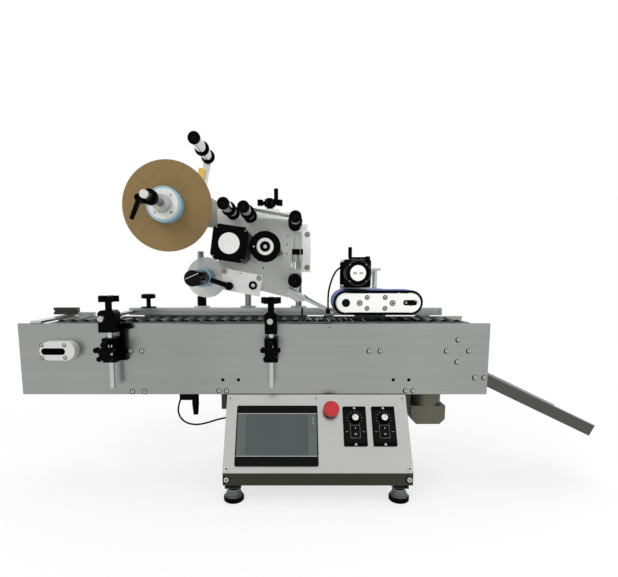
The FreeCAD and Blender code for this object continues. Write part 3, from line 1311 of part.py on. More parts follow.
def reel_hub():
    """The reel's clamping hub and shaft, with a collar for the lever."""
    back = s.head_plate_y - s.core_back_gap
    front = s.reel_flange_y
    flange_back = front + s.reel_flange_thick
    hub = turned("hub", [
        (s.reel_shaft_radius, front - s.reel_boss_length),
        (s.reel_boss_radius, front - s.reel_boss_length), (s.reel_boss_radius, front),
        (s.reel_flange_radius, front), (s.reel_flange_radius, flange_back),
        (s.core_bore, flange_back), (s.core_bore, back), (s.reel_shaft_radius, back)])
    node("reel_hub", on_reel(hub))
    shaft_end = plate_back_y + s.head_gap + s.head_plate_thick
    hole_end = s.reel_tip_y + s.shaft_hole_depth
    shaft = turned("shaft", [
        (s.shaft_hole_radius, s.reel_tip_y), (s.reel_shaft_radius, s.reel_tip_y),
        (s.reel_shaft_radius, shaft_end), (0, shaft_end), (0, hole_end),
        (s.shaft_hole_radius, hole_end)])
    node("reel_hub", on_reel(shaft))
    front = s.collar_front_y
    ring = on_reel(ring_solid("collar", s.reel_shaft_radius, s.collar_radius, front,
                              front + s.collar_width))
    ear = box("collar_ear", s.reel_x - s.ear_reach, front, s.reel_z - s.ear_drop,
              s.collar_width, s.collar_width, s.ear_height)
    bore = rod("collar_bore", s.reel_x, front - 1, s.reel_z, s.reel_shaft_radius,
               s.collar_width + 2)
    node("reel_hub", cut("reel_collar_cut", fuse("reel_collar_fused", [ring, ear]), bore))


def reel_lever():
    """The clamping lever on the collar's ear, hanging to the lower left."""
    root = s.lever_root / 2
    tip = s.lever_tip / 2
    arm = prism("lever_arm", "XZ_Plane", [(-root, 0), (root, 0), (tip, -s.lever_length),
                                          (-tip, -s.lever_length)], s.lever_front_y,
                s.lever_thick)
    place(arm, 0, 0, 0, Vec(0, 1, 0), s.lever_turn)
    hub = rod("lever_hub", 0, -s.lever_hub_length, 0, s.lever_hub_radius, s.lever_hub_length)
    lever = fuse("lever_fused", [arm, hub])
    place(lever, s.reel_x - s.lever_x, s.collar_front_y - s.run_clearance,
          s.reel_z - s.lever_drop)
    node("reel_lever", lever)


def drive_motor():
    """The square stepped motor on the head's face, turned with the plate."""
    half = s.motor_width / 2
    flat = half - s.motor_corner
    front = s.motor_front_y
    body = new_body("motor")
    sketch = new_sketch(body, "XZ_Plane", front)
    draw_polygon(sketch, [(-half, -flat), (-flat, -half), (flat, -half), (half, -flat),
                          (half, flat), (flat, half), (-flat, half), (-half, flat)])
    pad(body, sketch, s.head_plate_y - front)
    dish = new_sketch(body, "XZ_Plane", front)
    draw_circle(dish, 0, 0, s.motor_disc_radius)
    pocket(body, dish, s.motor_dish, True)
    place(body, s.motor_x, 0, s.motor_z, Vec(0, 1, 0), s.motor_tilt)
    node("head_motor", body)
    back = front + s.motor_dish
    face = rod("motor_face", s.motor_x, back - s.motor_disc_thick, s.motor_z,
               s.motor_disc_radius, s.motor_disc_thick)
    node("head_motor", face)


def on_drive_roll(item):
    return place(item, s.drive_roll_x, 0, s.drive_roll_z)


def drive_roller():
    """The web's drive roller with the hand disc on its front end."""
    end = s.head_plate_y + s.head_plate_thick
    lug_front = s.head_plate_y - s.lug_flange_thick
    thick = s.hand_disc_thick
    shaft = s.roll_shaft_radius
    roll_end = lug_front - s.drive_roll_gap
    body = turned("drive_roller_turn", [
        (0, thick), (shaft, thick), (shaft, s.drive_roll_front_y),
        (s.drive_roll_radius, s.drive_roll_front_y), (s.drive_roll_radius, roll_end),
        (shaft, roll_end), (shaft, end), (0, end)])
    node("drive_roller", on_drive_roll(body))
    edge = s.hand_disc_edge
    disc = turned("hand_disc_turn", [
        (0, 0), (s.hand_ring_inner, 0), (s.hand_ring_inner, -s.hand_ring_proud),
        (s.hand_ring_outer, -s.hand_ring_proud), (s.hand_ring_outer, 0),
        (s.hand_disc_radius - edge, 0), (s.hand_disc_radius, edge),
        (s.hand_disc_radius, thick), (0, thick)])
    node("drive_roller", on_drive_roll(disc))
    parts = [ring_solid("lug_ring", shaft + running, s.lug_ring_radius, lug_front,
                        s.head_plate_y)]
    for turn in range(3):
        angle = s.lug_turn - 120 * turn
        parts.append(rod("lug%d" % turn, s.lug_reach * cosine(angle), lug_front,
                         -(s.lug_reach * sine(angle)), s.lug_radius, s.lug_flange_thick))
    node("nip_block", on_drive_roll(fuse("lug_flange_fused", parts)))


def nip_block():
    """The outrigger plate on four posts, with the socket ring on its face."""
    half_long = s.block_length / 2
    half_high = s.block_height / 2
    plate = prism("nip_plate", "XZ_Plane", [
        (-half_long, -half_high), (half_long, -half_high), (half_long, half_high),
        (-half_long, half_high)], s.block_front_y, s.block_thick)
    dress(plate, "Fillet", edges_along(plate.Shape, Vec(0, 1, 0)), s.block_corner)
    place(plate, s.block_x, 0, s.block_z, Vec(0, 1, 0), s.block_tilt)
    parts = [plate]
    post_front = s.block_front_y + s.block_thick - 1
    lean = sine(s.block_tilt)
    level = cosine(s.block_tilt)
    for i, (side, rise) in enumerate(((-1, 1), (1, 1), (-1, -1), (1, -1))):
        dx = s.block_post_x * side
        dz = s.block_post_z * rise
        z = dz * level - dx * lean
        if float(z) < -float(s.block_post_low):
            z = -s.block_post_low
        parts.append(rod("nip_post%d" % i, s.block_x + dx * level + dz * lean, post_front,
                         s.block_z + z, s.block_post_radius, s.head_plate_y - post_front))
    node("nip_block", fuse("nip_block_fused", parts))
    socket = ring_solid("block_socket_turn", s.socket_inner, s.socket_outer, 0, s.socket_proud)
    node("nip_block", place(socket, s.socket_x, s.block_front_y - s.socket_proud, s.socket_z))


def clip_lever():
    """The clip lever at the front of the outrigger plate."""
    half = s.nip_arm_width / 2
    tip = (s.nip_arm_width - s.nip_arm_taper) / 2
    reach = -s.nip_arm_length
    hub = rod("clip_hub", 0, 0, 0, s.nip_hub_radius, s.nip_hub_length)
    arm = prism("clip_arm", "XZ_Plane", [(0, -half), (0, half), (reach, tip), (reach, -tip)],
                s.nip_arm_y, s.nip_arm_thick)
    place(arm, 0, 0, 0, Vec(0, 1, 0), s.nip_turn)
    lever = fuse("clip_lever_fused", [hub, arm])
    place(lever, s.nip_x, s.block_front_y - s.nip_hub_length - s.run_clearance, s.nip_z)
    node("clip_lever", lever)


def on_rewinder(item):
    return place(item, s.rewind_x, 0, s.rewind_z)


def rewinder():
    """The backing paper rewinder: mandrel, core sleeve and clear disc on one shaft."""
    arm = box("rewind_arm_plate", s.rewind_arm_left, plate_back_y, s.rewind_arm_low,
              s.rewind_arm_right - s.rewind_arm_left, s.head_plate_thick, s.rewind_arm_height)
    shaft = s.roll_shaft_radius
    bore = rod("rewind_bore", s.rewind_x, plate_back_y - 1, s.rewind_z, shaft + running,
               s.head_plate_thick + 2)
    node("reel_arm", cut("rewind_arm_cut", arm, bore))
    disc_front = s.rewind_disc_y - s.rewind_disc_thick
    end = plate_back_y + s.head_plate_thick
    front = s.mandrel_front_y
    edge = s.mandrel_edge
    body = turned("mandrel", [
        (0, front), (s.mandrel_radius - edge, front), (s.mandrel_radius, front + edge),
        (s.mandrel_radius, disc_front), (shaft, disc_front), (shaft, end), (0, end)])
    node("rewinder", on_rewinder(body))
    node("rewinder", on_rewinder(ring_solid("sleeve_turn", s.mandrel_radius,
                                            s.sleeve_blue_radius, s.sleeve_front_y,
                                            disc_front)))
    node("rewinder", on_rewinder(ring_solid("rewind_disc_turn", shaft, s.rewind_disc_radius,
                                            disc_front, s.rewind_disc_y)))


def peel_plate():
    """The thin edge that the labels peel off, with its white holder."""
    front = s.peel_front_y
    node("peel_plate", prism("holder", "XZ_Plane", peel_holder_points, front,
                             s.head_plate_y - front))
    blade = prism("blade", "XZ_Plane", peel_blade_points, front, s.peel_back_y - front)
    root = prism("blade_root", "XZ_Plane", peel_root_points, front, s.peel_back_y - front)
    node("peel_plate", fuse("peel_plate_fused", [blade, root]))


def label_sensor():
    """The label gap sensor on two rods beside the web."""
    front = s.head_plate_y - s.sensor_depth
    rod_bottom = s.sensor_clamp_z + s.sensor_clamp_height
    node("label_sensor", box("sensor_clamp_box", s.sensor_left, front, s.sensor_clamp_z,
                             s.sensor_width, s.sensor_depth, s.sensor_clamp_height))
    rods = []
    for i in range(2):
        rods.append(rod("sensor_rod%d" % i, s.sensor_rod_x + s.sensor_rod_gap * i,
                        front + s.sensor_rod_inset, rod_bottom, s.sensor_rod_radius,
                        s.sensor_head_z - rod_bottom, "Z"))
    node("label_sensor", group("sensor_rods_set", rods))
    node("label_sensor", box("sensor_block_box", s.sensor_head_left, front, s.sensor_head_z,
                             s.sensor_head_width, s.sensor_head_depth, s.sensor_head_height))


def press_side_plates():
    """The two round-ended side plates, each bored for both pulley shafts."""
    back_plate_y = s.press_front_y + s.press_plate_thick + s.press_belt_width
    for name, y in (("front", s.press_front_y), ("back", back_plate_y)):
        body = new_body("press_plate_" + name)
        sketch = new_sketch(body, "XZ_Plane", y)
        draw_stadium(sketch, s.press_left_x, s.press_right_x, s.press_z, s.press_plate_radius)
        pad(body, sketch, s.press_plate_thick)
        bores = new_sketch(body, "XZ_Plane", y)
        for x in (s.press_left_x, s.press_right_x):
            draw_circle(bores, x, s.press_z, s.press_shaft_radius + running)
        pocket(body, bores, s.press_plate_thick, True)
        node("press_frame", body)


def press_belt():
    """The wide belt round both pulleys, with the core block between the runs."""
    inner = s.press_front_y + s.press_plate_thick
    clear = s.press_pulley_radius + s.run_clearance
    belt = new_body("belt")
    sketch = new_sketch(belt, "XZ_Plane", inner + 1)
    draw_stadium(sketch, s.press_left_x, s.press_right_x, s.press_z,
                 clear + s.press_belt_thick)
    draw_stadium(sketch, s.press_left_x, s.press_right_x, s.press_z, clear)
    pad(belt, sketch, s.press_belt_width - 2)
    node("press_belt", belt)
    margin = s.press_pulley_radius + s.press_core_gap
    node("press_frame", box("press_core_box", s.press_left_x + margin, inner,
                            s.press_z - s.press_core_height / 2,
                            s.press_right_x - s.press_left_x - margin * 2,
                            s.press_belt_width, s.press_core_height))


def press_pulleys():
    front = s.press_front_y
    inner = front + s.press_plate_thick
    end = inner + s.press_belt_width
    gap = s.run_clearance
    shaft = s.press_shaft_radius
    wide = s.press_pulley_radius
    for name, x in (("press_pulley_a", s.press_left_x), ("press_pulley_b", s.press_right_x)):
        roller = turned(name + "_turn", [
            (0, front), (shaft, front), (shaft, inner + gap), (wide, inner + gap),
            (wide, end - gap), (shaft, end - gap), (shaft, press_back_y), (0, press_back_y)])
        node(name, place(roller, x, 0, s.press_z))


def press_slide():
    """The block that slides on the press's column, and the column with its cap."""
    block = new_body("slide_block")
    sketch = new_sketch(block, "XY_Plane", s.slide_block_z)
    near = press_back_y + s.press_plate_thick
    draw_polygon(sketch, [
        (s.slide_block_left, near), (s.slide_block_right, near),
        (s.slide_block_right, s.slide_block_back_y), (s.slide_block_left, s.slide_block_back_y)])
    draw_circle(sketch, s.column_x, s.column_y, s.column_radius + s.post_clearance)
    pad(block, sketch, s.slide_block_height)
    node("press_frame", block)
    node("posts", rod("column_rod", s.column_x, s.column_y, s.deck_top, s.column_radius,
                      s.column_top - s.deck_top, "Z"))
    node("posts", box("column_cap_box", s.column_x - s.column_cap_left,
                      s.column_y - s.column_cap_front, s.column_top, s.column_cap_length,
                      s.column_cap_width, s.column_cap_height))


def press_motor():
    """The press's motor above the belt, and the plate that carries it."""
    half = s.press_motor_width / 2
    x = s.press_motor_x
    z = s.press_motor_z
    front = s.press_motor_front_y
    drum_back = front + s.press_drum_depth
    low = z - half - s.press_motor_skirt
    body = prism("press_motor_box", "XZ_Plane", [
        (x - half, low), (x + half, low), (x + half, z + half), (x - half, z + half)],
        drum_back, press_back_y - drum_back)
    dress(body, "Fillet", edges_along(body.Shape, Vec(0, 1, 0)), s.press_motor_corner)
    drum = rod("press_motor_drum", x, front, z, s.press_motor_radius, s.press_drum_depth)
    node("press_motor", fuse("press_motor_fused", [body, drum]))
    node("press_motor", rod("press_motor_face", x, front - s.press_disc_thick, z,
                            s.press_disc_radius, s.press_disc_thick))
    bottom = s.press_z - s.mount_drop
    top = z + half - s.mount_drop
    shoulder = s.slide_block_z + s.slide_block_height
    right = x + half
    node("press_frame", prism("press_mount_plate", "XZ_Plane", [
        (x - half, bottom), (s.slide_block_right, bottom), (s.slide_block_right, shoulder),
        (right + s.mount_step, shoulder + s.mount_step), (right, top), (x - half, top)],
        press_back_y, s.press_plate_thick))


def press_crank():
    """The crank on the press's lifting screw, with its upright grip."""
    drop = s.crank_z - s.slide_block_z - s.slide_block_height - s.run_clearance
    root = s.crank_screw_radius
    half = s.crank_arm_thick / 2
    parts = [rod("crank_screw", 0, 0, -drop, root, drop + root, "Z"),
             rod("crank_hub", 0, 0, -root, s.crank_hub_radius, s.crank_hub_height, "Z"),
             box("crank_arm", -s.crank_reach - root, -s.crank_arm_width / 2, -half,
                 s.crank_reach + root, s.crank_arm_width, s.crank_arm_thick),
             rod("crank_grip", -s.crank_reach, 0, half - 1, s.crank_grip_radius,
                 s.crank_grip_height, "Z")]
    crank = fuse("crank_fused", parts)
    place(crank, s.crank_x, s.column_y, s.crank_z)
    node("press_crank", crank)


front_wall()
node("rear_wall", side_wall("rear_wall", s.beam_width, -1))
cross_members()
wall_screws()
chain_rollers()
chain_strands()
wheel_shaft("drive_shaft", s.drive_x)
wheel_shaft("idler_shaft", idler_x)
chain_tensioner()
infeed_fittings()
outfeed_rail()
decks_and_posts()
guide_brackets()
lift_assembly()
guide_assembly()
guide_knobs()
control_box()
panel_items()
panel_screws()
hangers()
feet_and_tabs()
outfeed_chute()
gearmotor()
head_frame()
head_housing()
head_knob()
guide_rollers()
dancer_arm()
reel_arm()
label_reel()
reel_hub()
reel_lever()
drive_motor()
drive_roller()
nip_block()
clip_lever()
rewinder()
peel_plate()
label_sensor()
press_side_plates()
press_belt()
press_pulleys()
press_slide()
press_motor()
press_crank()
cable_junction()
loose_cables()
finished = [finish_node(name, items) for name, items in made.items()]
doc.recompute()

faults = [item.Name for item in doc.Objects
          if "Invalid" in item.State or "Error" in item.State]
for item in finished:
    if item.Shape.isNull() or not item.Shape.isValid():
        faults.append(item.Label)
if faults:
    raise ValueError("these objects failed: " + ", ".join(faults))

for item in finished:
    item.Shape.exportStep("parts/%s.step" % item.Label)
print(len(finished), "sub-parts written")
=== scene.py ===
import bmesh
import bpy
import json
import math
from mathutils import Euler, Matrix, Vector

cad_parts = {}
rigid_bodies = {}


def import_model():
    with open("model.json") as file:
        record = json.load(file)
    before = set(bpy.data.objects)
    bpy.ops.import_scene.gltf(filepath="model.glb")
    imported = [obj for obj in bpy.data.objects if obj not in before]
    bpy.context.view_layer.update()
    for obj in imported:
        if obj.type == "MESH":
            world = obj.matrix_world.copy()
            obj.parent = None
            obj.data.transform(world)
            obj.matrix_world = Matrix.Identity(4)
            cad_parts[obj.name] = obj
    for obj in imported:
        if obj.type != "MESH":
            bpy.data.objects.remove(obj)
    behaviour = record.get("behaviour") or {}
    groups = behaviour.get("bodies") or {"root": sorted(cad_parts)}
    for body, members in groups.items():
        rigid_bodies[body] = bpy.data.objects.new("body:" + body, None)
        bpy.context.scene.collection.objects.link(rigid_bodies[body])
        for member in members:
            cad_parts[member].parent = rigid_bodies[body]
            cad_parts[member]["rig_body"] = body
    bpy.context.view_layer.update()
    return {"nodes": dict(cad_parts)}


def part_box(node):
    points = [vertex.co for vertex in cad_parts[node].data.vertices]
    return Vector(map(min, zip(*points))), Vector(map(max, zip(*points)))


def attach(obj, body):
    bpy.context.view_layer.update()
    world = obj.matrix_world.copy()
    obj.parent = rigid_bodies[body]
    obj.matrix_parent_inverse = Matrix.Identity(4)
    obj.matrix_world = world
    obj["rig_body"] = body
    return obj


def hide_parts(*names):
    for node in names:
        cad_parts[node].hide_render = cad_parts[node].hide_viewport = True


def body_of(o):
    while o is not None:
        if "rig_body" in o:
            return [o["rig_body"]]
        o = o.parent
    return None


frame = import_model()
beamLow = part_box("front_wall")[0]
print("frame loaded")

# Points are given in millimetres from the beam's infeed end, front face and the floor.


def at(x, y, z):
    return Vector((beamLow.x + x / 1000, beamLow.y + y / 1000, z / 1000))


def mm(*sizes):
    return tuple(size / 1000 for size in sizes)


def placed(name, data):
    made = bpy.data.objects.new(name, data)
    bpy.context.scene.collection.objects.link(made)
    return made


def ridden(piece, body, replaced=()):
    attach(piece, body)
    if replaced:
        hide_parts(*replaced)
    return piece


cameraView = {
    "focalPixels": 450.9, "imageWide": 618, "imageHigh": 577,
    "centreX": 293.8, "centreY": 333.1, "pitch": 0.1343,
    "x": 700.9, "y": -1136.3, "z": 561.0,
}


def makeCamera(view):
    data = bpy.data.cameras.new("photoCamera")
    data.sensor_width = 36
    data.lens = view["focalPixels"] * 36 / view["imageWide"]
    data.shift_x = (view["imageWide"] / 2 - view["centreX"]) / view["imageWide"]
    data.shift_y = (view["centreY"] - view["imageHigh"] / 2) / view["imageWide"]
    data.clip_start, data.clip_end = 0.05, 60
    camera = placed("photoCamera", data)
    camera.location = at(view["x"], view["y"], view["z"])
    camera.rotation_euler = (math.pi / 2 - view["pitch"], 0, 0)
    bpy.context.scene.camera = camera


makeCamera(cameraView)


# Node sockets, with Python's operators adding the Math nodes
class Wire:
    def __init__(self, tree, socket):
        self.tree = tree
        self.socket = socket

    def sum(self, operation, first, second=None):
        inputs = {0: first} if second is None else {0: first, 1: second}
        return self.tree.add("ShaderNodeMath", {"operation": operation}, inputs)

    def __add__(self, other):
        return self.sum("ADD", self, other)

    def __radd__(self, other):
        return self.sum("ADD", other, self)

    def __sub__(self, other):
        return self.sum("SUBTRACT", self, other)

    def __mul__(self, other):
        return self.sum("MULTIPLY", self, other)

    def __lt__(self, other):
        return self.sum("LESS_THAN", self, other)

    def size(self):
        return self.sum("ABSOLUTE", self)

    def least(self, other):
        return self.sum("MINIMUM", self, other)

    def most(self, other):
        return self.sum("MAXIMUM", self, other)


class Tree:
    # Any node tree; add() makes a node with its settings and inputs
    def __init__(self, tree):
        self.tree = tree

    def link(self, target, value):
        if isinstance(value, Wire):
            self.tree.links.new(value.socket, target)
        else:
            target.default_value = value

    def add(self, kind, settings, inputs, output=0):
        node = self.tree.nodes.new(kind)
        for key, value in settings.items():
            setattr(node, key, value)
        for key, value in inputs.items():
            for single in value if isinstance(value, list) else [value]:
                self.link(node.inputs[key], single)
        return Wire(self, node.outputs[output])

    def here(self):
        return self.add("ShaderNodeTexCoord", {}, {}, "Object")


class Finish(Tree):
    def __init__(self, name, colour, rough, metal=0.0, **fixed):
        self.material = bpy.data.materials.new(name)
        self.material.use_nodes = True
        super().__init__(self.material.node_tree)
        self.shader = self.tree.nodes["Principled BSDF"]
        fixed.update(Base_Color=(*colour, 1.0), Roughness=rough, Metallic=metal)
        for socket, value in fixed.items():
            self.shader.inputs[socket.replace("_", " ")].default_value = value

    def place(self, scale=(1, 1, 1), spot=(0, 0, 0), turn=(0, 0, 0)):
        return self.add("ShaderNodeMapping", {"vector_type": "POINT"},
                        {"Vector": self.here(), "Location": spot, "Rotation": turn, "Scale": scale})

    def noise(self, vector, scale, detail=3.0, rough=0.55):
        return self.add("ShaderNodeTexNoise", {},
                        {"Vector": vector, "Scale": scale, "Detail": detail, "Roughness": rough})

    def axis(self, name):
        return self.add("ShaderNodeSeparateXYZ", {}, {0: self.here()}, name)

    def blend(self, mask, first, second):
        return self.add("ShaderNodeMix", {"data_type": "RGBA"},
                        {0: mask, 6: first, 7: second}, 2)

    def tones(self, mask, colour, dark, light):
        return self.blend(mask, (*shade(colour, dark), 1), (*shade(colour, light), 1))

    def bump(self, height, strength, distance):
        bumped = self.add("ShaderNodeBump", {}, {"Strength": strength, "Distance": distance,
                                                 "Height": height})
        self.link(self.shader.inputs["Normal"], bumped)

    def paint(self, colour, rough, **others):
        for socket, value in {"Base Color": colour, "Roughness": rough, **others}.items():
            self.link(self.shader.inputs[socket], value)


def shade(colour, factor):
    return tuple(min(1.0, channel * factor) for channel in colour)


def brushedMetal(name, colour, rough, grain=(1, 1, 1), depth=0.000006, streak=0.1, coarse=0.08):
    # Fine drawn lines with broader, fainter streaks among them
    finish = Finish(name, colour, rough, 1.0)
    lines = finish.noise(finish.place(grain), 1100, 2.0, 0.7)
    wide = finish.noise(finish.place(grain, (0.3, 0.1, 0.7)), 150, 2.0, 0.6)
    rub = finish.noise(finish.place((1, 0.5, 0.5), (0.7, 0.2, 0.1)), 3.4, 1.0, 0.5)
    tone = lines * 0.36 + wide * 0.26 + rub * 0.38
    finish.paint(finish.tones(tone, colour, 1 - streak - coarse, 1 + streak),
                 rough + (lines - 0.5) * 0.12)
    finish.bump(lines, 0.3, depth)
    return finish.material


def castMetal(name, colour, rough, grain=900, depth=0.00003, metal=1.0, sheen=0.5):
    finish = Finish(name, colour, rough, metal, Specular_IOR_Level=sheen)
    speck = finish.noise(finish.place(), grain, 3.0)
    slow = finish.noise(finish.place(), 26, 3.0)
    finish.paint(finish.tones(slow * 0.6 + speck * 0.4, colour, 0.82, 1.14),
                 rough + (speck - 0.5) * 0.2)
    finish.bump(speck, 0.3, depth)
    return finish.material


def coatedMetal(name, colour, rough, peel=420, depth=0.00004, dust=0.06):
    # Sprayed paint: a fine peel, a faint drift in tone and slight dust in the hollows
    finish = Finish(name, colour, rough, 0.0, Coat_Roughness=0.25)
    skin = finish.noise(finish.place(), peel, 2.0)
    slow = finish.noise(finish.place(), 9, 4.0)
    grime = finish.noise(finish.place((1, 1, 1), (2, 1, 0)), 65, 6.0, 0.7)
    tone = slow * 0.7 + grime * 0.3
    finish.paint(finish.tones(tone, colour, 1 - dust * 2, 1 + dust),
                 rough + (grime - 0.5) * 0.18, **{"Coat Weight": slow * 0.25})
    finish.bump(skin, 0.25, depth)
    return finish.material


def mouldedPlastic(name, colour, rough, grain=1500, depth=0.00005, wear=0.35, sheen=0.5):
    finish = Finish(name, colour, rough, 0.0, Specular_IOR_Level=sheen)
    pits = finish.noise(finish.place(), grain, 2.0)
    slow = finish.noise(finish.place(), 30, 4.0)
    finish.paint(finish.tones(slow * 0.7 + pits * 0.3, colour, 1 - wear * 0.4, 1 + wear),
                 rough + (slow - 0.5) * 0.2)
    finish.bump(pits, 0.4, depth)
    return finish.material


def ink(red, green, blue):
    return tuple((channel / 255) ** 2.2 for channel in (red, green, blue))


metals = {
    "beam": ink(156, 158, 153), "panel": ink(190, 191, 188), "bright": ink(180, 182, 180),
    "chrome": ink(184, 187, 188), "aluminium": ink(172, 176, 174), "grey": ink(116, 120, 119),
    "deck": ink(146, 150, 147), "post": ink(132, 137, 138), "dark": ink(62, 63, 61),
    "olive": ink(62, 63, 54),
}
along = (0.006, 1, 1)
beamSteel = brushedMetal("brushedBeam", metals["beam"], 0.3, along, 0.000006, 0.2, 0.16)
panelSteel = brushedMetal("brushedPanel", metals["panel"], 0.28, along, 0.000004, 0.14, 0.1)
brightSteel = brushedMetal("brightPlate", metals["bright"], 0.3, along, 0.000004, 0.08, 0.06)
chrome = castMetal("hardChrome", metals["chrome"], 0.09, 1500, 0.000004)
aluminium = brushedMetal("drawnAluminium", metals["aluminium"], 0.34, (0.03, 1, 1))
turnedSteel = castMetal("turnedSteel", metals["bright"], 0.22, 1200, 0.00001)
greyMetal = castMetal("greyCasting", metals["grey"], 0.45)
darkSteel = brushedMetal("darkSteel", metals["dark"], 0.36, (0.03, 1, 1))
deckMetal = brushedMetal("deckPlate", metals["deck"], 0.36, (1, 0.03, 1))
screwSteel = coatedMetal("screwSteel", ink(182, 183, 179), 0.28)
postMetal = castMetal("postSteel", metals["post"], 0.3, 1300, 0.00001)
whitePaint = coatedMetal("whiteCoat", ink(212, 214, 211), 0.45)
headPaint = coatedMetal("headCoat", ink(240, 242, 238), 0.38)
armPaint = coatedMetal("armCoat", ink(168, 168, 160), 0.45)
brightPaint = coatedMetal("warmWhiteCoat", ink(196, 197, 192), 0.4)
oliveSteel = brushedMetal("oliveSteel", metals["olive"], 0.34, along, 0.000006, 0.14, 0.12)
chutePaint = coatedMetal("chuteCoat", ink(58, 58, 56), 0.45)
chuteInside = coatedMetal("chuteInside", ink(112, 113, 110), 0.45)
gearPaint = castMetal("gearCasting", ink(92, 92, 80), 0.42, 700, 0.00003, 0.5)
blackMetal = castMetal("blackAnodised", ink(8, 8, 9), 0.34, 1100, 0.00002, 0.0, 0.04)
blackPlastic = mouldedPlastic("blackMoulding", ink(8, 8, 9), 0.36, 1500, 0.00004, 0.35, 0.04)
blackRubber = mouldedPlastic("blackRubber", ink(9, 9, 9), 0.6, 700, 0.0001, 0.35, 0.04)
glossBlack = mouldedPlastic("glossBlack", ink(7, 8, 9), 0.2, 1800, 0.00001, 0.2, 0.1)
whitePlastic = mouldedPlastic("whiteMoulding", ink(206, 207, 203), 0.4, 1500, 0.00003, 0.08)
greyPlastic = mouldedPlastic("greyMoulding", ink(160, 162, 158), 0.42, 1500, 0.00003, 0.1)
ivoryPlastic = mouldedPlastic("ivoryMoulding", ink(206, 203, 192), 0.35, 1500, 0.00003, 0.08)
yellowPlastic = mouldedPlastic("yellowTab", ink(214, 184, 92), 0.45, 1500, 0.00003, 0.12)
redPlastic = mouldedPlastic("stopRed", ink(168, 32, 38), 0.32, 1700, 0.00003, 0.15)
blueSleeve = mouldedPlastic("paleBlueSleeve", ink(132, 172, 192), 0.4, 1200, 0.00003, 0.08)
blueTrim = mouldedPlastic("blueTrim", ink(44, 84, 150), 0.4, 1500, 0.00002, 0.1)
print("finishes made")


def cardboardFinish(values):
    # Kraft board: fibres, flutes showing through, and folded creases as bumped grooves with painted
    # shade along them
    finish = Finish("cardboard", values["colour"], 0.82)
    fibre = finish.noise(finish.place((1, 1, 0.3)), 900, 4.0, 0.7)
    mottle = finish.noise(finish.place(), 42, 5.0, 0.65)
    flute = finish.add("ShaderNodeTexWave", {"wave_type": "BANDS", "bands_direction": "X"},
                       {"Vector": finish.place((1, 1, 1), (0, 0, 0), (0, math.radians(45), 0)),
                        "Scale": values["flutes"], "Distortion": 0.6, "Detail": 2.0}, 1)
    x = finish.axis("X") - values["centre"].x
    z = finish.axis("Z") - values["centre"].z
    toFold = (x - z).size().least((x + z).size())
    creaseGrooveAndShade = toFold < values["creaseWidth"]
    tone = fibre * 0.35 + mottle * 0.45 + flute * 0.2
    plain = finish.tones(tone, values["colour"], 0.72, 1.25)
    # Darker along the creases: painted shade in the folds
    creaseShaded = finish.blend(creaseGrooveAndShade * 0.7, plain, (*shade(values["colour"], 0.4), 1))
    finish.paint(creaseShaded, 0.78 + fibre * 0.15)
    finish.bump(flute * 0.5 + fibre * 0.3 - creaseGrooveAndShade * 1.5, 0.4, 0.0004)
    return finish.material


def labelStock(values):
    # Wound label paper: faint layers on its sides, smooth face
    finish = Finish("labelStock", values["colour"], 0.5)
    layers = finish.noise(finish.place((0.01, 1, 0.01)), 3000, 1.0)
    slow = finish.noise(finish.place(), 20, 3.0)
    finish.paint(finish.tones(layers * 0.5 + slow * 0.5, values["colour"], 0.86, 1.04),
                 0.42 + slow * 0.2)
    finish.bump(layers, 0.1, 0.00003)
    return finish.material


def beltFinish(values):
    # Woven-back press belt: fine cross ribs and rubbed patches
    finish = Finish("pressBelt", values["colour"], 0.55)
    weave = finish.add("ShaderNodeTexWave", {"wave_type": "BANDS", "bands_direction": "Y"},
                       {"Vector": finish.place(), "Scale": 420.0, "Distortion": 0.3}, 1)
    rub = finish.noise(finish.place((1, 0.2, 1)), 45, 5.0, 0.7)
    finish.paint(finish.tones(rub * 0.7 + weave * 0.3, values["colour"], 0.7, 1.3),
                 0.45 + rub * 0.25)
    finish.bump(weave, 0.3, 0.0001)
    return finish.material


def screenFinish(values):
    # Unlit display under glass: darker core, cool sheen and faint dust
    finish = Finish("displayGlass", values["colour"], 0.12, 0.0, Coat_Roughness=0.05)
    dust = finish.noise(finish.place(), 500, 3.0)
    drift = finish.noise(finish.place((1, 1, 0.7)), 11, 2.0)
    finish.paint(finish.tones(drift * 0.85 + dust * 0.15, values["colour"], 0.7, 1.4),
                 0.1 + dust * 0.12, **{"Coat Weight": 0.6 + dust * 0.3})
    return finish.material


def clearSheet(values):
    # Frosted clear disc: mostly see-through, whiter in scuffed patches
    finish = Finish("clearDisc", values["colour"], 0.25)
    scuff = finish.noise(finish.place(), 60, 5.0, 0.7)
    finish.paint(finish.blend(scuff, (*shade(values["colour"], 0.85), 1), (*values["colour"], 1)),
                 0.2 + scuff * 0.2, Alpha=0.62 + scuff * 0.25)
    return finish.material


reelLow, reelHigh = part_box("label_reel")
reelValues = {
    "colour": ink(126, 104, 68), "flutes": 120.0, "creaseWidth": 0.0008,
    "centre": (reelLow + reelHigh) / 2,
}
cardboard = cardboardFinish(reelValues)
paper = labelStock({"colour": ink(236, 237, 234)})
blueBelt = beltFinish({"colour": ink(40, 82, 146)})
displayGlass = screenFinish({"colour": ink(44, 52, 54)})
clearDisc = clearSheet({"colour": ink(236, 238, 234)})
bezelGreen = mouldedPlastic("bezelGreyGreen", ink(74, 85, 81), 0.5, 1500, 0.00003, 0.1)
ledWhite = mouldedPlastic("lampWhite", ink(214, 220, 214), 0.3, 1500, 0.00002, 0.08)
amberPlastic = mouldedPlastic("amberTube", ink(204, 140, 50), 0.35, 1500, 0.00002, 0.12)
print("special finishes made")

beamFrame = Matrix.Translation(at(0, 0, 0)) @ Matrix.Scale(0.001, 4)

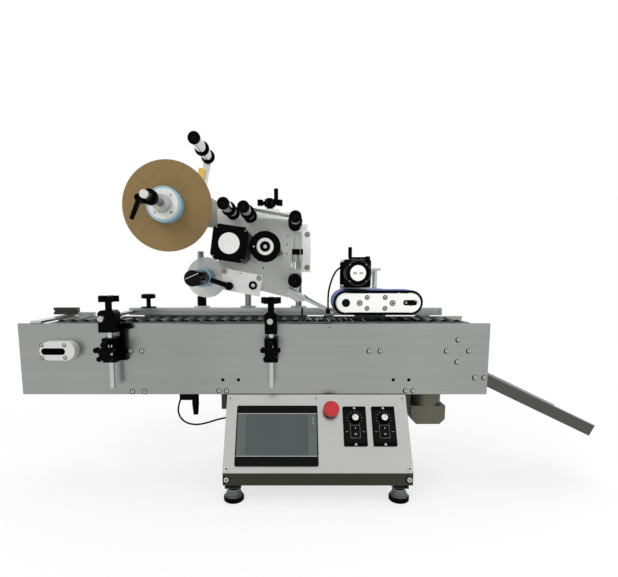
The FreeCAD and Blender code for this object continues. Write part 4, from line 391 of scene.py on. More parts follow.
cordValues = {
    "boxCable": {
        "points": ((404, 13, 231), (395, 14, 208), (398, 17, 182), (414, 20, 164), (441, 23, 157),
                   (472, 25, 163), (501, 27, 172.5), (527.9, 29, 177)),
        "node": "box_cable", "body": "machine", "length": 0.1907,
    },
    "sensorCable": {
        "points": ((787, -6, 472), (786, -7, 499), (790, -5, 526), (799, 6, 550), (811, 26, 568),
                   (827.2, 38, 577)),
        "node": "sensor_cable", "body": "press", "length": 0.1328,
    },
}
cordThick = 4.6


def looseCord(name, values):
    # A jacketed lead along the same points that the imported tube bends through
    data = bpy.data.curves.new(name, "CURVE")
    data.dimensions = "3D"
    run = data.splines.new("NURBS")
    run.points.add(len(values["points"]) - 1)
    for point, spot in zip(run.points, values["points"]):
        point.co = (*at(*spot), 1)
    run.order_u = 3
    run.use_endpoint_u = True
    run.resolution_u = 12
    data.bevel_depth = cordThick / 2000
    data.bevel_resolution = 5
    data.use_fill_caps = True
    data.materials.append(blackRubber)
    return ridden(placed(name, data), values["body"], [values["node"]])


cords = {name: looseCord(name, values) for name, values in cordValues.items()}
print("cords made")


class Shape:
    # A mesh drawn in millimetres in the beam's own frame, about one axis and spot
    def __init__(self, name, local=None, axis="Y", spot=(0, 0, 0)):
        self.name, self.axis, self.spot = name, axis, spot
        self.mesh = bmesh.new()
        self.finishes = []
        self.place = beamFrame @ (local or Matrix())

    def move(self, local):
        self.place = beamFrame @ local

    def face(self, corners, coat):
        self.mesh.faces.new(corners).material_index = coat

    def loft(self, rings, finish, capped=True):
        if finish not in self.finishes:
            self.finishes.append(finish)
        coat = self.finishes.index(finish)
        made = [[self.mesh.verts.new(self.place @ Vector(point)) for point in ring] for ring in rings]
        for low, high in zip(made, made[1:]):
            for i in range(len(low)):
                k = (i + 1) % len(low)
                self.face([low[i], low[k], high[k], high[i]], coat)
        if capped:
            self.face(list(reversed(made[0])), coat)
            self.face(made[-1], coat)

    def across(self, a, b, along, spot, axis=None):
        point = {"X": (along, a, b), "Y": (a, along, b), "Z": (a, b, along)}[axis or self.axis]
        return Vector(point) + Vector(spot or self.spot)

    def turned(self, outline, finish, sides=48, spot=None, bored=False):
        rings = []
        for radius, along in outline:
            ring = []
            for i in range(sides):
                angle = 2 * math.pi * i / sides
                a, b = radius * math.cos(angle), radius * math.sin(angle)
                if self.axis == "Y":
                    a, b = b, a
                ring.append(self.across(a, b, along, spot))
            rings.append(ring)
        self.loft(rings + rings[:1] if bored else rings, finish, not bored)

    def bored(self, outline, finish, sides=48, spot=None):
        self.turned(outline, finish, sides, spot, True)

    def solid(self, outline, finish, sides=48, spot=None):
        # Both ends close on the axis
        ends = (0.01, outline[0][1]), (0.01, outline[-1][1])
        self.turned([ends[0], *outline, ends[1]], finish, sides, spot)

    def disc(self, radius, low, high, finish, sides=48, spot=None):
        self.solid([(radius, low), (radius, high)], finish, sides, spot)

    def plate(self, outline, low, high, finish, turn=0.0, spot=None, axis=None):
        rings = []
        for along in (low, high):
            ring = []
            for a, b in outline:
                c = a * math.cos(turn) - b * math.sin(turn)
                d = a * math.sin(turn) + b * math.cos(turn)
                ring.append(self.across(c, d, along, spot, axis))
            rings.append(ring)
        self.loft(rings, finish)

    def slab(self, low, high, finish):
        outline = [(low[0], low[2]), (high[0], low[2]), (high[0], high[2]), (low[0], high[2])]
        self.plate(outline, low[1], high[1], finish, 0.0, (0, 0, 0), "Y")

    def screw(self, x, y, z, radius):
        # A pan head on a face that looks to the front, with a black disc behind it as painted shade
        # round its rim and a black disc on it as painted shade in its socket
        spot, inner = (x, 0, z), radius * 0.4
        # Black disc behind the head: painted shade round its rim
        self.disc(radius * 1.5, y - 0.25, y + 0.2, blackMetal, 24, spot)
        self.bored([(inner, y - 1.5), (radius * 0.75, y - 1.5), (radius, y - 0.9), (radius, y),
                    (inner, y)], screwSteel, 24, spot)
        # Black disc on the head: painted shade in the socket
        self.disc(radius * 0.55, y - 1.62, y - 1, blackMetal, 6, spot)

    def done(self, body, replaced=(), bevel=0.3, sharp=30):
        bmesh.ops.remove_doubles(self.mesh, verts=self.mesh.verts, dist=1e-7)
        bmesh.ops.recalc_face_normals(self.mesh, faces=self.mesh.faces)
        return finishPiece(self.name, self.mesh, self.finishes, body, replaced, bevel, sharp)


def smoothed(data, sharp):
    data.shade_smooth()
    data.set_sharp_from_angle(angle=math.radians(sharp))


def finishPiece(name, mesh, finishes, body, replaced, bevel, sharp):
    data = bpy.data.meshes.new(name)
    mesh.to_mesh(data)
    mesh.free()
    for finish in finishes:
        data.materials.append(finish)
    smoothed(data, sharp)
    piece = placed(name, data)
    if bevel:
        rounding = piece.modifiers.new("edges", "BEVEL")
        rounding.width = bevel / 1000
        rounding.segments = 2
        rounding.limit_method = "ANGLE"
        rounding.angle_limit = math.radians(sharp)
        rounding.harden_normals = True
    return ridden(piece, body, replaced)


plugValues = {"wide": 11, "deep": 8, "drop": 14.3, "top": 3.5, "ribs": 3, "rib": 3.6, "taper": 0.4,
              "core": 2.4, "step": 1.1}


def sensorPlug(values):
    # The small ribbed connector that the press's cable leaves
    x, y, z = cordValues["sensorCable"]["points"][0]
    wide, deep, top = values["wide"] / 2, values["deep"] / 2, z - values["top"]
    plug = Shape("sensorPlug", None, "Z", (x, y, 0))
    plug.slab((x - wide, y - deep, z - values["drop"]), (x + wide, y + deep, top), blackPlastic)
    for k in range(values["ribs"]):
        low = top + k * values["step"]
        plug.disc(values["rib"] - values["taper"] * k, low, low + 0.7, blackRubber, 24)
        plug.disc(values["core"], low, low + 1.05, blackRubber, 24)
    return plug.done("press")


def declareCords():
    ends = {"boxCable": [], "sensorCable": [sensorPlug(plugValues)]}
    for name, values in cordValues.items():
        at(*values["points"][0])


declareCords()


def bodyOf(node):
    return body_of(frame["nodes"][node])[0]


def pieceName(node):
    words = node.split("_")
    return words[0] + "".join(word.capitalize() for word in words[1:])


def solidMesh(node):
    mesh = bmesh.new()
    mesh.from_mesh(frame["nodes"][node].data)
    bmesh.ops.remove_doubles(mesh, verts=mesh.verts, dist=5e-6)
    return mesh


def dressed(node, finish, bevel=0.4, regions=()):
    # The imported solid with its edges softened; regions are (finish, low, high) boxes in mm
    mesh = solidMesh(node)
    bmesh.ops.dissolve_limit(mesh, angle_limit=math.radians(0.5), verts=mesh.verts, edges=mesh.edges)
    finishes = [finish]
    undo = beamFrame.inverted()
    for face in mesh.faces:
        face.material_index = 0
        spot = undo @ face.calc_center_median()
        for other, low, high in regions:
            if all(low[i] <= spot[i] <= high[i] for i in range(3)):
                if other not in finishes:
                    finishes.append(other)
                face.material_index = finishes.index(other)
    return finishPiece(pieceName(node), mesh, finishes, bodyOf(node), [node], bevel, 30)


def boxOf(node):
    low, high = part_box(node)
    undo = beamFrame.inverted()
    return undo @ low, undo @ high


def middleOf(node):
    low, high = boxOf(node)
    return (low + high) / 2


def axisOf(node):
    low, high = boxOf(node)
    return ((low.x + high.x) / 2, 0, (low.z + high.z) / 2)


def looseParts(node):
    # Each separate solid of a node as (middle, size, facing) in mm
    mesh = solidMesh(node)
    undo = beamFrame.inverted()
    left = set(mesh.verts)
    parts = []
    while left:
        start = left.pop()
        group, rim = [start], [start]
        while rim:
            vert = rim.pop()
            for edge in vert.link_edges:
                other = edge.other_vert(vert)
                if other in left:
                    left.remove(other)
                    group.append(other)
                    rim.append(other)
        spots = [undo @ vert.co for vert in group]
        low = Vector([min(spot[i] for spot in spots) for i in range(3)])
        high = Vector([max(spot[i] for spot in spots) for i in range(3)])
        areas = {}
        for face in {face for vert in group for face in vert.link_faces}:
            key = tuple(round(n, 2) for n in face.normal)
            areas[key] = areas.get(key, 0) + face.calc_area()
        most = max(areas.values())
        facing = min((key for key in areas if areas[key] > most * 0.6), key=lambda k: k[1] - k[2])
        parts.append(((low + high) / 2, high - low, Vector(facing)))
    mesh.free()
    parts.sort(key=lambda part: tuple(round(v, 1) for v in part[0]))
    return parts


class Pattern(Tree):
    # A Geometry Nodes tree that sets one small shape on every point it is given
    def __init__(self, name, inputs):
        super().__init__(bpy.data.node_groups.new(name, "GeometryNodeTree"))
        self.names = {}
        kinds = {"Points": "Geometry", "Finish": "Material"}
        for label in ["Points", *inputs, "Finish"]:
            kind = "NodeSocket" + kinds.get(label, "Float")
            socket = self.tree.interface.new_socket(label, in_out="INPUT", socket_type=kind)
            self.names[label] = socket.identifier
        self.tree.interface.new_socket("Result", in_out="OUTPUT", socket_type="NodeSocketGeometry")
        self.start = self.tree.nodes.new("NodeGroupInput")

    def given(self, label):
        return Wire(self, self.start.outputs[label])

    def barrel(self, radius, depth, sides):
        return self.add("GeometryNodeMeshCylinder", {},
                        {"Vertices": sides, "Radius": radius, "Depth": depth})

    def moved(self, shape, spot, turn=(0, 0, 0)):
        return self.add("GeometryNodeTransform", {},
                        {"Geometry": shape, "Translation": spot, "Rotation": Euler(turn)})

    def joined(self, shapes):
        return self.add("GeometryNodeJoinGeometry", {}, {"Geometry": shapes})

    def read(self, name, kind):
        return self.add("GeometryNodeInputNamedAttribute", {"data_type": kind}, {"Name": name})

    def scatter(self, shape, axis, pivot="AUTO"):
        turn = self.add("FunctionNodeAlignRotationToVector", {"axis": axis, "pivot_axis": pivot},
                        {"Vector": self.read("facing", "FLOAT_VECTOR")})
        spread = self.add("GeometryNodeInstanceOnPoints", {},
                          {"Points": self.given("Points"), "Instance": shape, "Rotation": turn,
                           "Scale": self.read("across", "FLOAT")})
        solid = self.add("GeometryNodeRealizeInstances", {}, {"Geometry": spread})
        coated = self.add("GeometryNodeSetMaterial", {},
                          {"Geometry": solid, "Material": self.given("Finish")})
        self.link(self.tree.nodes.new("NodeGroupOutput").inputs[0], coated)
        return self


def grow(name, pattern, spots, finish, sizes, replaced=(), sharp=35):
    # One shape on each (spot, facing, across), with its sizes in millimetres
    points = bpy.data.meshes.new(name + "Points")
    points.from_pydata([beamFrame @ Vector(spot) for spot, facing, across in spots], [], [])
    facings = points.attributes.new("facing", "FLOAT_VECTOR", "POINT")
    facings.data.foreach_set("vector", [n for spot, facing, across in spots for n in facing])
    widths = points.attributes.new("across", "FLOAT", "POINT")
    widths.data.foreach_set("value", [across for spot, facing, across in spots])
    maker = placed(name + "Maker", points)
    growing = maker.modifiers.new("pattern", "NODES")
    growing.node_group = pattern.tree
    growing[pattern.names["Finish"]] = finish
    for label, size in sizes.items():
        growing[pattern.names[label]] = size / 1000
    ready = maker.evaluated_get(bpy.context.evaluated_depsgraph_get())
    data = bpy.data.meshes.new_from_object(ready)
    data.name = name
    smoothed(data, sharp)
    bpy.data.objects.remove(maker)
    return ridden(placed(name, data), "machine", replaced)


def screwPattern():
    # A cap head cut by a hexagon socket, 8 mm wide before it is scaled
    made = Pattern("socketScrews", ["Head radius", "Head height", "Socket radius"])
    head = made.barrel(made.given("Head radius"), made.given("Head height"), 24)
    key = made.barrel(made.given("Socket radius"), made.given("Head height"), 6)
    cut = made.add("GeometryNodeMeshBoolean", {"operation": "DIFFERENCE"},
                   {"Mesh 1": head, "Mesh 2": [made.moved(key, mm(0, 0, 0.55))]})
    return made.scatter(cut, "Z")


def rollerPattern():
    # A barrel with a narrower shoulder at each end
    made = Pattern("chainRollers", ["Radius", "Length", "Shoulder"])
    body = made.barrel(made.given("Radius"), made.given("Length"), 28)
    ends = made.barrel(made.given("Radius") * 0.82, made.given("Length") + made.given("Shoulder"), 28)
    return made.scatter(made.joined([body, ends]), "Z")


def linkPattern():
    # Two round ends and the hull round them: one side plate of the chain
    made = Pattern("chainLinks", ["Pitch", "Radius", "Thickness"])
    eye = made.barrel(made.given("Radius"), made.given("Thickness"), 18)
    ends = []
    for half in (0.5, -0.5):
        spot = made.add("ShaderNodeCombineXYZ", {}, {0: made.given("Pitch") * half})
        ends.append(made.moved(eye, spot, (math.pi / 2, 0, 0)))
    plate = made.add("GeometryNodeConvexHull", {}, {"Geometry": made.joined(ends)})
    return made.scatter(plate, "X", "Y")


chainValues = {
    "rollerLength": 78, "shoulder": 4, "pinRadius": 3.4, "pinOver": 16, "pinStep": 2, "linkRadius": 7,
    "linkThick": 2.2, "innerPlate": 3.0, "outerPlate": 6.4,
}


def rollerChain(values):
    rollers = [part for part in looseParts("roller_chain") if part[1].x < 30 and part[1].y > 60]
    middle = sum((part[0] for part in rollers), Vector()) / len(rollers)
    reach = max(part[0].x for part in rollers) - middle.x
    drop = max(part[0].z for part in rollers) - middle.z
    straight = reach - drop

    def order(spot):
        # How far round the loop a roller is, from the top run's infeed end
        x = max(-straight, min(straight, spot.x - middle.x))
        if abs(spot.x - middle.x) <= straight + 0.01:
            return x + straight if spot.z > middle.z else 3 * straight + math.pi * drop - x
        bend = math.atan2(spot.x - middle.x - x, spot.z - middle.z)
        return 2 * straight + drop * bend if bend > 0 else drop * bend

    spots = sorted((part[0] for part in rollers), key=order)
    across = rollers[0][1]
    sideways = Vector((0, 1, 0))
    barrels = [(spot, sideways, 1.0) for spot in spots]
    grow("chainRollers", rollerPattern(), barrels, glossBlack,
         {"Radius": across.x / 2, "Length": values["rollerLength"], "Shoulder": values["shoulder"]},
         ["roller_chain"])
    grow("chainPins", rollerPattern(), barrels, turnedSteel,
         {"Radius": values["pinRadius"], "Length": across.y + values["pinOver"],
          "Shoulder": values["pinStep"]})
    links = []
    pitch = 0
    for i, spot in enumerate(spots):
        ahead = spots[(i + 1) % len(spots)]
        pitch = max(pitch, (ahead - spot).length)
        out = across.y / 2 + (values["innerPlate"] if i % 2 else values["outerPlate"])
        for side in (-1, 1):
            links.append(((spot + ahead) / 2 + sideways * out * side, (ahead - spot).normalized(), 1.0))
    grow("chainLinks", linkPattern(), links, greyMetal,
         {"Pitch": pitch, "Radius": values["linkRadius"], "Thickness": values["linkThick"]})


screwValues = {
    "head": 4, "high": 2.6, "socket": 1.9, "boltHigh": 4.4, "boltSocket": 2, "boltFrom": 1.5,
    "wallScale": 1.12, "tensionerScale": 1.45, "shade": 6, "shadeThick": 0.4, "shadeStep": 0.1,
    "rimBack": 1.05, "keyAhead": 0.78, "keyScale": 0.42, "panelScale": 0.85,
    "rimShift": Vector((-0.7, 0, -0.7)),
}


def screwHeads(values):
    # Cap screws where the imported ones are; on faces that look front or up the panel, black discs add a
    # painted shadow behind each head, shifted down and left on upright faces, and painted shade in each
    # socket
    spots = []
    for middle, size, facing in looseParts("screws"):
        if 0.1 < facing.y < 0.9:
            facing = -facing
        larger = values["tensionerScale"] if middle.y < -20 else values["wallScale"]
        spots.append((middle, facing, larger * sorted(size)[1] / 8))
    bolts = [spot for spot in spots if spot[2] > values["boltFrom"]]
    spots = [spot for spot in spots if spot[2] <= values["boltFrom"]]
    grow("slotBolts", screwPattern(), bolts, blackMetal,
         {"Head radius": values["head"], "Head height": values["boltHigh"],
          "Socket radius": values["boltSocket"]})
    grow("socketScrews", screwPattern(), spots, screwSteel,
         {"Head radius": values["head"], "Head height": values["high"],
          "Socket radius": values["socket"]}, ["screws"])
    # Black discs as painted shade: a painted shadow behind each head and painted shade in its socket
    shades = []
    for middle, facing, width in spots:
        if abs(facing.y) <= 0.1:
            continue
        level = abs(facing.y) > 0.9
        rim = middle - facing * values["rimBack"] * width
        if level:
            # Shifted down and left: a painted cast shadow
            rim = rim + values["rimShift"]
        shades.append((rim, facing, width if level else width * values["panelScale"]))
        shades.append((middle + facing * values["keyAhead"] * width, facing, width * values["keyScale"]))
    grow("screwShades", rollerPattern(), shades, blackMetal,
         {"Radius": values["shade"], "Length": values["shadeThick"], "Shoulder": values["shadeStep"]})


holeValues = {"across": (518, 558.3, 957.3, 997.5), "rise": 39.3, "radius": 3.1, "rim": 4.4, "back": 1.6}


def holeLinings(values):
    # Black discs inside the front plate's open holes as painted shade, with a black ring round each as
    # painted shade that makes the holes look wider
    holeShadeShape = Shape("holeLinings")
    z = boxOf("front_wall")[0].z + values["rise"]
    radius, rim, back = values["radius"], values["rim"], values["back"]
    for x in values["across"]:
        # Black disc in the hole and black ring round it: painted shade
        holeShadeShape.disc(radius, back - 0.4, back, blackRubber, 24, (x, 0, z))
        holeShadeShape.bored([(radius, -0.15), (rim, -0.1), (rim, 0.1), (radius, 0.1)], blackRubber, 28,
                      (x, 0, z))
    holeShadeShape.done("machine", (), 0.1)


rollerChain(chainValues)
screwHeads(screwValues)
holeLinings(holeValues)
print("chain and screws made")

panelSlope = math.radians(58)
panelUp = Vector((0, math.cos(panelSlope), math.sin(panelSlope)))
panelOut = Vector((0, -math.sin(panelSlope), math.cos(panelSlope)))
boxHigh = boxOf("control_box")[1]


def onPanel(x, down, lift=0.0):
    # A frame on the sloped panel: X right, Y up the slope, Z out of it
    spot = Vector((x, 0, boxHigh.z)) - panelUp * down + panelOut * lift
    return Matrix.Translation(spot) @ Matrix((
        (1, 0, 0, 0), (0, panelUp.y, panelOut.y, 0), (0, panelUp.z, panelOut.z, 0), (0, 0, 0, 1)))


def oblong(wide, high):
    x, y = wide / 2, high / 2
    return [(-x, -y), (x, -y), (x, y), (-x, y)]


def rounded(wide, high, corner, steps=5):
    outline = []
    for k, (x, y) in enumerate(((1, 1), (-1, 1), (-1, -1), (1, -1))):
        for i in range(steps + 1):
            angle = math.pi / 2 * (k + i / steps)
            outline.append((x * (wide / 2 - corner) + corner * math.cos(angle),
                            y * (high / 2 - corner) + corner * math.sin(angle)))
    return outline


screenValues = {
    "left": 557, "wide": 204, "down": 31, "high": 150, "sheet": 2, "proud": 7, "corner": 4,
    "bandTop": 20, "bandFoot": 23, "glassLeft": 24, "glassWide": 156, "glassHigh": 100,
    "lamps": 3, "lampIn": 12, "lampDown": 14, "lampStep": 6,
}


def operatorScreen(values):
    wide, high, proud = values["wide"], values["high"], values["proud"]
    screen = Shape("operatorScreen", onPanel(values["left"] + wide / 2, values["down"] + high / 2,
                                             values["sheet"]), "Z")
    screen.plate(rounded(wide, high, values["corner"]), 0, proud - 0.6, glossBlack)
    bandTop, bandFoot = high / 2 - values["bandTop"], values["bandFoot"] - high / 2
    shift = (values["bandFoot"] - values["bandTop"]) / 2
    inset = rounded(wide - 6, high - values["bandTop"] - values["bandFoot"], 2)
    screen.plate(inset, proud - 0.7, proud - 0.2, bezelGreen, 0, (0, shift, 0))
    glassX = -wide / 2 + values["glassLeft"] + values["glassWide"] / 2
    screen.plate(rounded(values["glassWide"], values["glassHigh"], 1.5), proud - 0.3, proud - 0.05,
                 displayGlass, 0, (glassX, shift, 0))
    for band in (bandTop - 0.8, bandFoot + 0.8):
        screen.plate(oblong(wide - 4, 1.4), proud - 0.7, proud - 0.1, greyPlastic, 0, (0, band, 0))
    for i in range(values["lamps"]):
        spot = (wide / 2 - values["lampIn"], bandTop - values["lampDown"] - values["lampStep"] * i, 0)
        screen.solid([(1.1, proud - 0.3), (0.9, proud)], ledWhite, 12, spot)
    return screen


speedValues = {
    "plates": (825, 898), "wide": 58.5, "down": 32.5, "high": 100.3, "sheet": 2, "proud": 4,
    "dial": 32, "rocker": 64, "ticks": 11, "sweep": 270, "tickReach": 18, "markUp": 36, "markOut": 21,
    "turns": (0.6, -0.5), "lift": 6.3, "screwIn": 4.6,
    "skirt": ((11, 0), (11, 2.2), (9.6, 3), (9.2, 14.5), (8.4, 16)), "grip": 0.45, "grips": 20,
    "rockerSide": [(-14, 1.8), (0, 0), (14, 1.8), (14, 6), (0, 4.5), (-14, 6)],
    "rockerRing": [(1.6, 5.1), (2.6, 5.1), (2.6, 5.5), (1.6, 5.5)],
}


def controlPlates(values, screen):
    # Each plate has dial ticks, a rocker surround and a screw at either end
    wide, high, top = values["wide"], values["high"], values["proud"]
    for left in values["plates"]:
        screen.move(onPanel(left + wide / 2, values["down"] + high / 2, values["sheet"]))
        screen.plate(rounded(wide, high, 3), 0, top - 0.5, blackPlastic)
        screen.plate(rounded(wide - 5, high - 18, 3), top - 0.6, top - 0.1, glossBlack)
        dialUp, reach = high / 2 - values["dial"], values["tickReach"]
        for i in range(values["ticks"]):
            angle = math.radians(90 + values["sweep"] * (0.5 - i / (values["ticks"] - 1)))
            spot = (reach * math.cos(angle), dialUp + reach * math.sin(angle), 0)
            screen.plate(oblong(2.6, 0.6), top - 0.15, top + 0.02, greyPlastic, angle, spot)
        screen.solid([(13.5, top), (12.6, top + 0.22)], blackRubber, 40, (0, dialUp, 0))
        rocker = (0, high / 2 - values["rocker"], 0)
        screen.plate(rounded(24.4, 32.4, 2), top - 0.2, top + 0.1, greyPlastic, 0, rocker)
        screen.plate(rounded(23.4, 31.4, 2), top - 0.1, top + 0.25, blackRubber, 0, rocker)
        for side in (-1, 1):
            screen.turned([(0.01, top), (3.3, top), (3.3, top + 1), (2.6, top + 1.6), (0.01, top + 1.4)],
                          turnedSteel, 20, (0, side * (high / 2 - values["screwIn"]), 0))
            screen.plate(oblong(7, 0.6), top - 0.12, top + 0.02, greyPlastic, 0,
                         (side * values["markOut"], values["markUp"] - high / 2, 0))


stopValues = {
    "x": 795, "down": 43.4, "sheet": 2, "collar": 15, "collarHigh": 9, "stem": 8, "bore": 8.3,
    "head": ((0.01, 0), (17.5, 0), (19.6, 1.2), (20, 3), (20, 8), (19.2, 10.4), (16.5, 12.4),
             (11, 13.5), (5, 13.9), (0.01, 14)),
}


def stopCollar(values, screen):
    screen.move(onPanel(values["x"], values["down"], values["sheet"]))
    radius, high, bore = values["collar"], values["collarHigh"], values["bore"]
    screen.bored([(bore, 0), (radius, 0), (radius, high * 0.35), (radius - 1.2, high * 0.45),
                  (radius - 1.2, high), (bore, high)], blackPlastic, 40)


def stopButton(values):
    # Mushroom head with a rolled rim and a domed face
    base = values["collarHigh"] + 5
    button = Shape("stopButton", onPanel(values["x"], values["down"], values["sheet"]), "Z")
    button.disc(values["stem"], 5.3, base, blackPlastic, 32)
    button.turned([(radius, base + up) for radius, up in values["head"]], redPlastic, 56)
    button.done("stop_button_body", ["stop_button"], 0.2, 40)


def speedPlace(values, left, down):
    return onPanel(left + values["wide"] / 2, values["down"] + down, values["lift"])


def speedDial(values, node, left, turn):
    # A grooved knob with a skirt and a pointer line
    knob = Shape(pieceName(node), speedPlace(values, left, values["dial"]), "Z")
    rings = []
    for radius, along in values["skirt"]:
        ring = []
        for i in range(60):
            angle = 2 * math.pi * i / 60
            grip = values["grip"] * math.cos(values["grips"] * angle) if 2.5 < along < 15.5 else 0
            ring.append(((radius + grip) * math.cos(angle), (radius + grip) * math.sin(angle), along))
        rings.append(ring)
    knob.loft(rings, blackPlastic)
    knob.solid([(8.2, 15.6), (7.6, 16.4)], ivoryPlastic, 40)
    knob.plate(oblong(1.4, 6), 16.3, 16.5, glossBlack, turn,
               (-4 * math.sin(turn), 4 * math.cos(turn), 0))
    knob.done(node + "_body", [node], 0.15, 35)


def rockerSwitch(values, node, left):
    # A two-sided rocker with a plain line on one half and a ring on the other
    rocker = Shape(pieceName(node), speedPlace(values, left, values["rocker"]), "Z")
    rocker.plate(values["rockerSide"], -10, 10, glossBlack, 0, None, "X")
    rocker.plate(oblong(1.2, 5), 5.15, 5.5, whitePlastic, 0, (0, 8, 0))
    rocker.bored(values["rockerRing"], whitePlastic, 24, (0, -8, 0))
    rocker.done(node + "_body", [node], 0.4)


fittings = operatorScreen(screenValues)
controlPlates(speedValues, fittings)
stopCollar(stopValues, fittings)
fittings.done("machine", ["panel_fittings"], 0.25)
stopButton(stopValues)
for letter, left, turn in zip("ab", speedValues["plates"], speedValues["turns"]):
    speedDial(speedValues, "speed_dial_" + letter, left, turn)
for letter, left in zip("ab", speedValues["plates"]):
    rockerSwitch(speedValues, "rocker_" + letter, left)
print("panel made")

rollerValues = {"ringOver": 5, "capOver": 3.5, "capLong": 6, "ringLong": 5, "axle": 5.4, "axleLong": 30}


def guideRoller(values, node):
    # Black end cap, bright tube and two raised guide rings
    low, high = boxOf(node)
    front, back = low.y, high.y
    ring = (high.x - low.x) / 2
    tube, cap = ring - values["ringOver"], ring - values["capOver"]
    capEnd, tubeEnd = front + values["capLong"], back - values["ringLong"]
    axle, axleEnd = values["axle"], back - values["axleLong"]
    roller = Shape(pieceName(node), None, "Y", axisOf(node))
    roller.solid([(6, front + 1.4), (6.4, front + 0.5), (cap - 1.5, front), (cap, front + 1.5),
                  (cap, capEnd - 1), (cap - 0.8, capEnd)], blackPlastic)
    roller.disc(3.4, front + 0.6, front + 1.6, glossBlack, 20)
    roller.solid([(tube - 0.6, capEnd), (tube, capEnd + 0.6), (tube, tubeEnd), (axle, tubeEnd),
                  (axle, axleEnd)], chrome)
    for start in ((capEnd + back) / 2, tubeEnd):
        end = start + values["ringLong"]
        roller.bored([(tube - 0.3, start), (ring - 1, start), (ring, start + 1), (ring, start + 4),
                      (ring - 1, end), (tube - 0.3, end)], blackPlastic)
    roller.done(bodyOf(node), [node], 0.15)


for node in ("guide_roller_a", "guide_roller_b", "guide_roller_c", "guide_roller_d", "dancer_roller"):
    guideRoller(rollerValues, node)
print("guide rollers made")

hubValues = {
    "core": [(38, -33), (41.4, -33), (42, -32.4), (42, 98.6), (38, 99)],
    "stock": [(42, 1), (65.6, 1), (66, 1.4), (66, 95.6), (65.6, 96), (42, 96)],
    "flange": [(9, -60), (18.5, -60), (20, -58.5), (20, -38), (35, -38), (36, -37), (36, -32),
               (38, -32), (38, 99), (9, 99)],
    "sleeve": [(9, -60.3), (19, -60.3), (20.3, -59), (20.3, -40), (22, -38.4), (9, -38.4)],
    "tip": [(3, -177), (8.2, -177), (9, -176.2), (9, -170)],
    "shaft": [(3, -177), (9, -170), (9, 121.3), (0.01, 121.3), (0.01, -165), (3, -165)],
    "collar": [(9, -142), (16.2, -142), (17, -141.2), (17, -126.8), (16.2, -126), (9, -126)],
    "screw": [(0.01, -38.5), (1.6, -38.6), (1.6, -39.4), (3, -39.4), (3.2, -38.8), (3.2, -37.8),
              (0.01, -37.8)],
    "screwReach": 28,
}


def labelReel(values):
    # Kraft disc in front of the wound stock on a pale blue core
    low, high = boxOf("label_reel")
    radius = (high.x - low.x) / 2
    disc = Shape("labelReel", None, "Y", axisOf("label_reel"))
    disc.bored([(42, -2), (radius - 0.4, -2), (radius, -1.6), (radius, 0.6), (radius - 0.4, 1), (42, 1)],
               cardboard, 96)
    disc.bored(values["core"], blueSleeve, 72)
    disc.bored(values["stock"], paper, 72)
    disc.done("reel", ["label_reel"], 0.1)


def fourRound(spot, reach, turn=0.0):
    # Four places on a circle about a front-to-back axis
    for k in range(4):
        angle = turn + math.pi / 4 + math.pi / 2 * k
        yield spot[0] + reach * math.cos(angle), spot[2] + reach * math.sin(angle)


def reelHub(values):
    # Flanged hub with four screws, on a shaft with a pale end and a clamp collar
    x, _, z = spot = axisOf("label_reel")
    hub = Shape("reelHub", None, "Y", spot)
    hub.bored(values["flange"], whitePlastic, 64)
    hub.bored(values["sleeve"], greyPlastic, 56)
    hub.turned(values["tip"], brightPaint, 40)
    hub.turned(values["shaft"], postMetal, 40)
    hub.bored(values["collar"], blackPlastic, 40)
    hub.slab((x - 25, -142, z - 13), (x - 12, -126, z + 4), blackPlastic)
    for across, up in fourRound(spot, values["screwReach"]):
        hub.turned(values["screw"], turnedSteel, 20, (across, 0, up))
    hub.done("reel", ["reel_hub"], 0.15)


labelReel(hubValues)
reelHub(hubValues)
dressed("reel_lever", blackPlastic, 0.8)
print("reel made")

discValues = {
    "face": [(36, 0), (38.5, 2.5), (38.5, 12.6), (37, 14)],
    "ring": [(13, 0.2), (13, -1), (13.6, -1.5), (20.2, -1.5), (21, -0.9), (21, 0.2)],
    "seat": [(0.01, 0.4), (12, 0.4), (12.6, 0), (13, 0.4)],
    "screw": [(0.01, -1.2), (3.2, -1.3), (4.6, -0.8), (5, 0.4), (0.01, 0.4)],
    "roll": [(8, 22), (19.2, 22), (20, 22.8), (20, 88.2), (19.2, 89), (8, 89)],
    "dot": 2.2, "dotReach": 28, "shaft": (8, 14, 113),
}


def handDisc(values):
    # Black disc with a white ring and a screw, on the rubber drive roll's shaft
    x, _, z = spot = axisOf("drive_roller")
    disc = Shape("driveRoller", None, "Y", spot)
    disc.solid(values["face"], blackPlastic, 72)
    disc.bored(values["ring"], whitePlastic, 56)
    disc.turned(values["seat"], blackMetal, 40)
    disc.turned(values["screw"], turnedSteel, 28)
    disc.disc(values["dot"], -0.3, 0.3, whitePlastic, 18, (x - values["dotReach"], 0, z))
    disc.disc(*values["shaft"], turnedSteel, 28)
    disc.bored(values["roll"], blackRubber)
    disc.done("drive_roller_body", ["drive_roller"], 0.15)


winderValues = {
    "spindle": [(0.01, -91.4), (16.6, -92), (18.4, -91.6), (19, -90), (19, 84), (8, 84), (8, 121),
                (0.01, 121)],
    "sleeve": [(19.05, 21), (23.6, 21), (24, 21.4), (24, 84), (19.05, 84)],
    "sheet": [(8, 84), (53.4, 84), (54, 84.6), (54, 85.6), (53.6, 86), (8, 86)],
    "mark": (33, 1.1), "markTurn": 24,
}


def backingRewinder(values):
    x, _, z = spot = axisOf("rewinder")
    winder = Shape("rewinder", None, "Y", spot)
    winder.turned(values["spindle"], glossBlack)
    winder.bored(values["sleeve"], blueSleeve, 56)
    winder.bored(values["sheet"], clearDisc, 72)
    winder.plate(oblong(*values["mark"]), -92.05, -91.9, whitePlastic, math.radians(values["markTurn"]),
                 (x, 0, z + 5))
    winder.done("rewinder_body", ["rewinder"], 0.12)


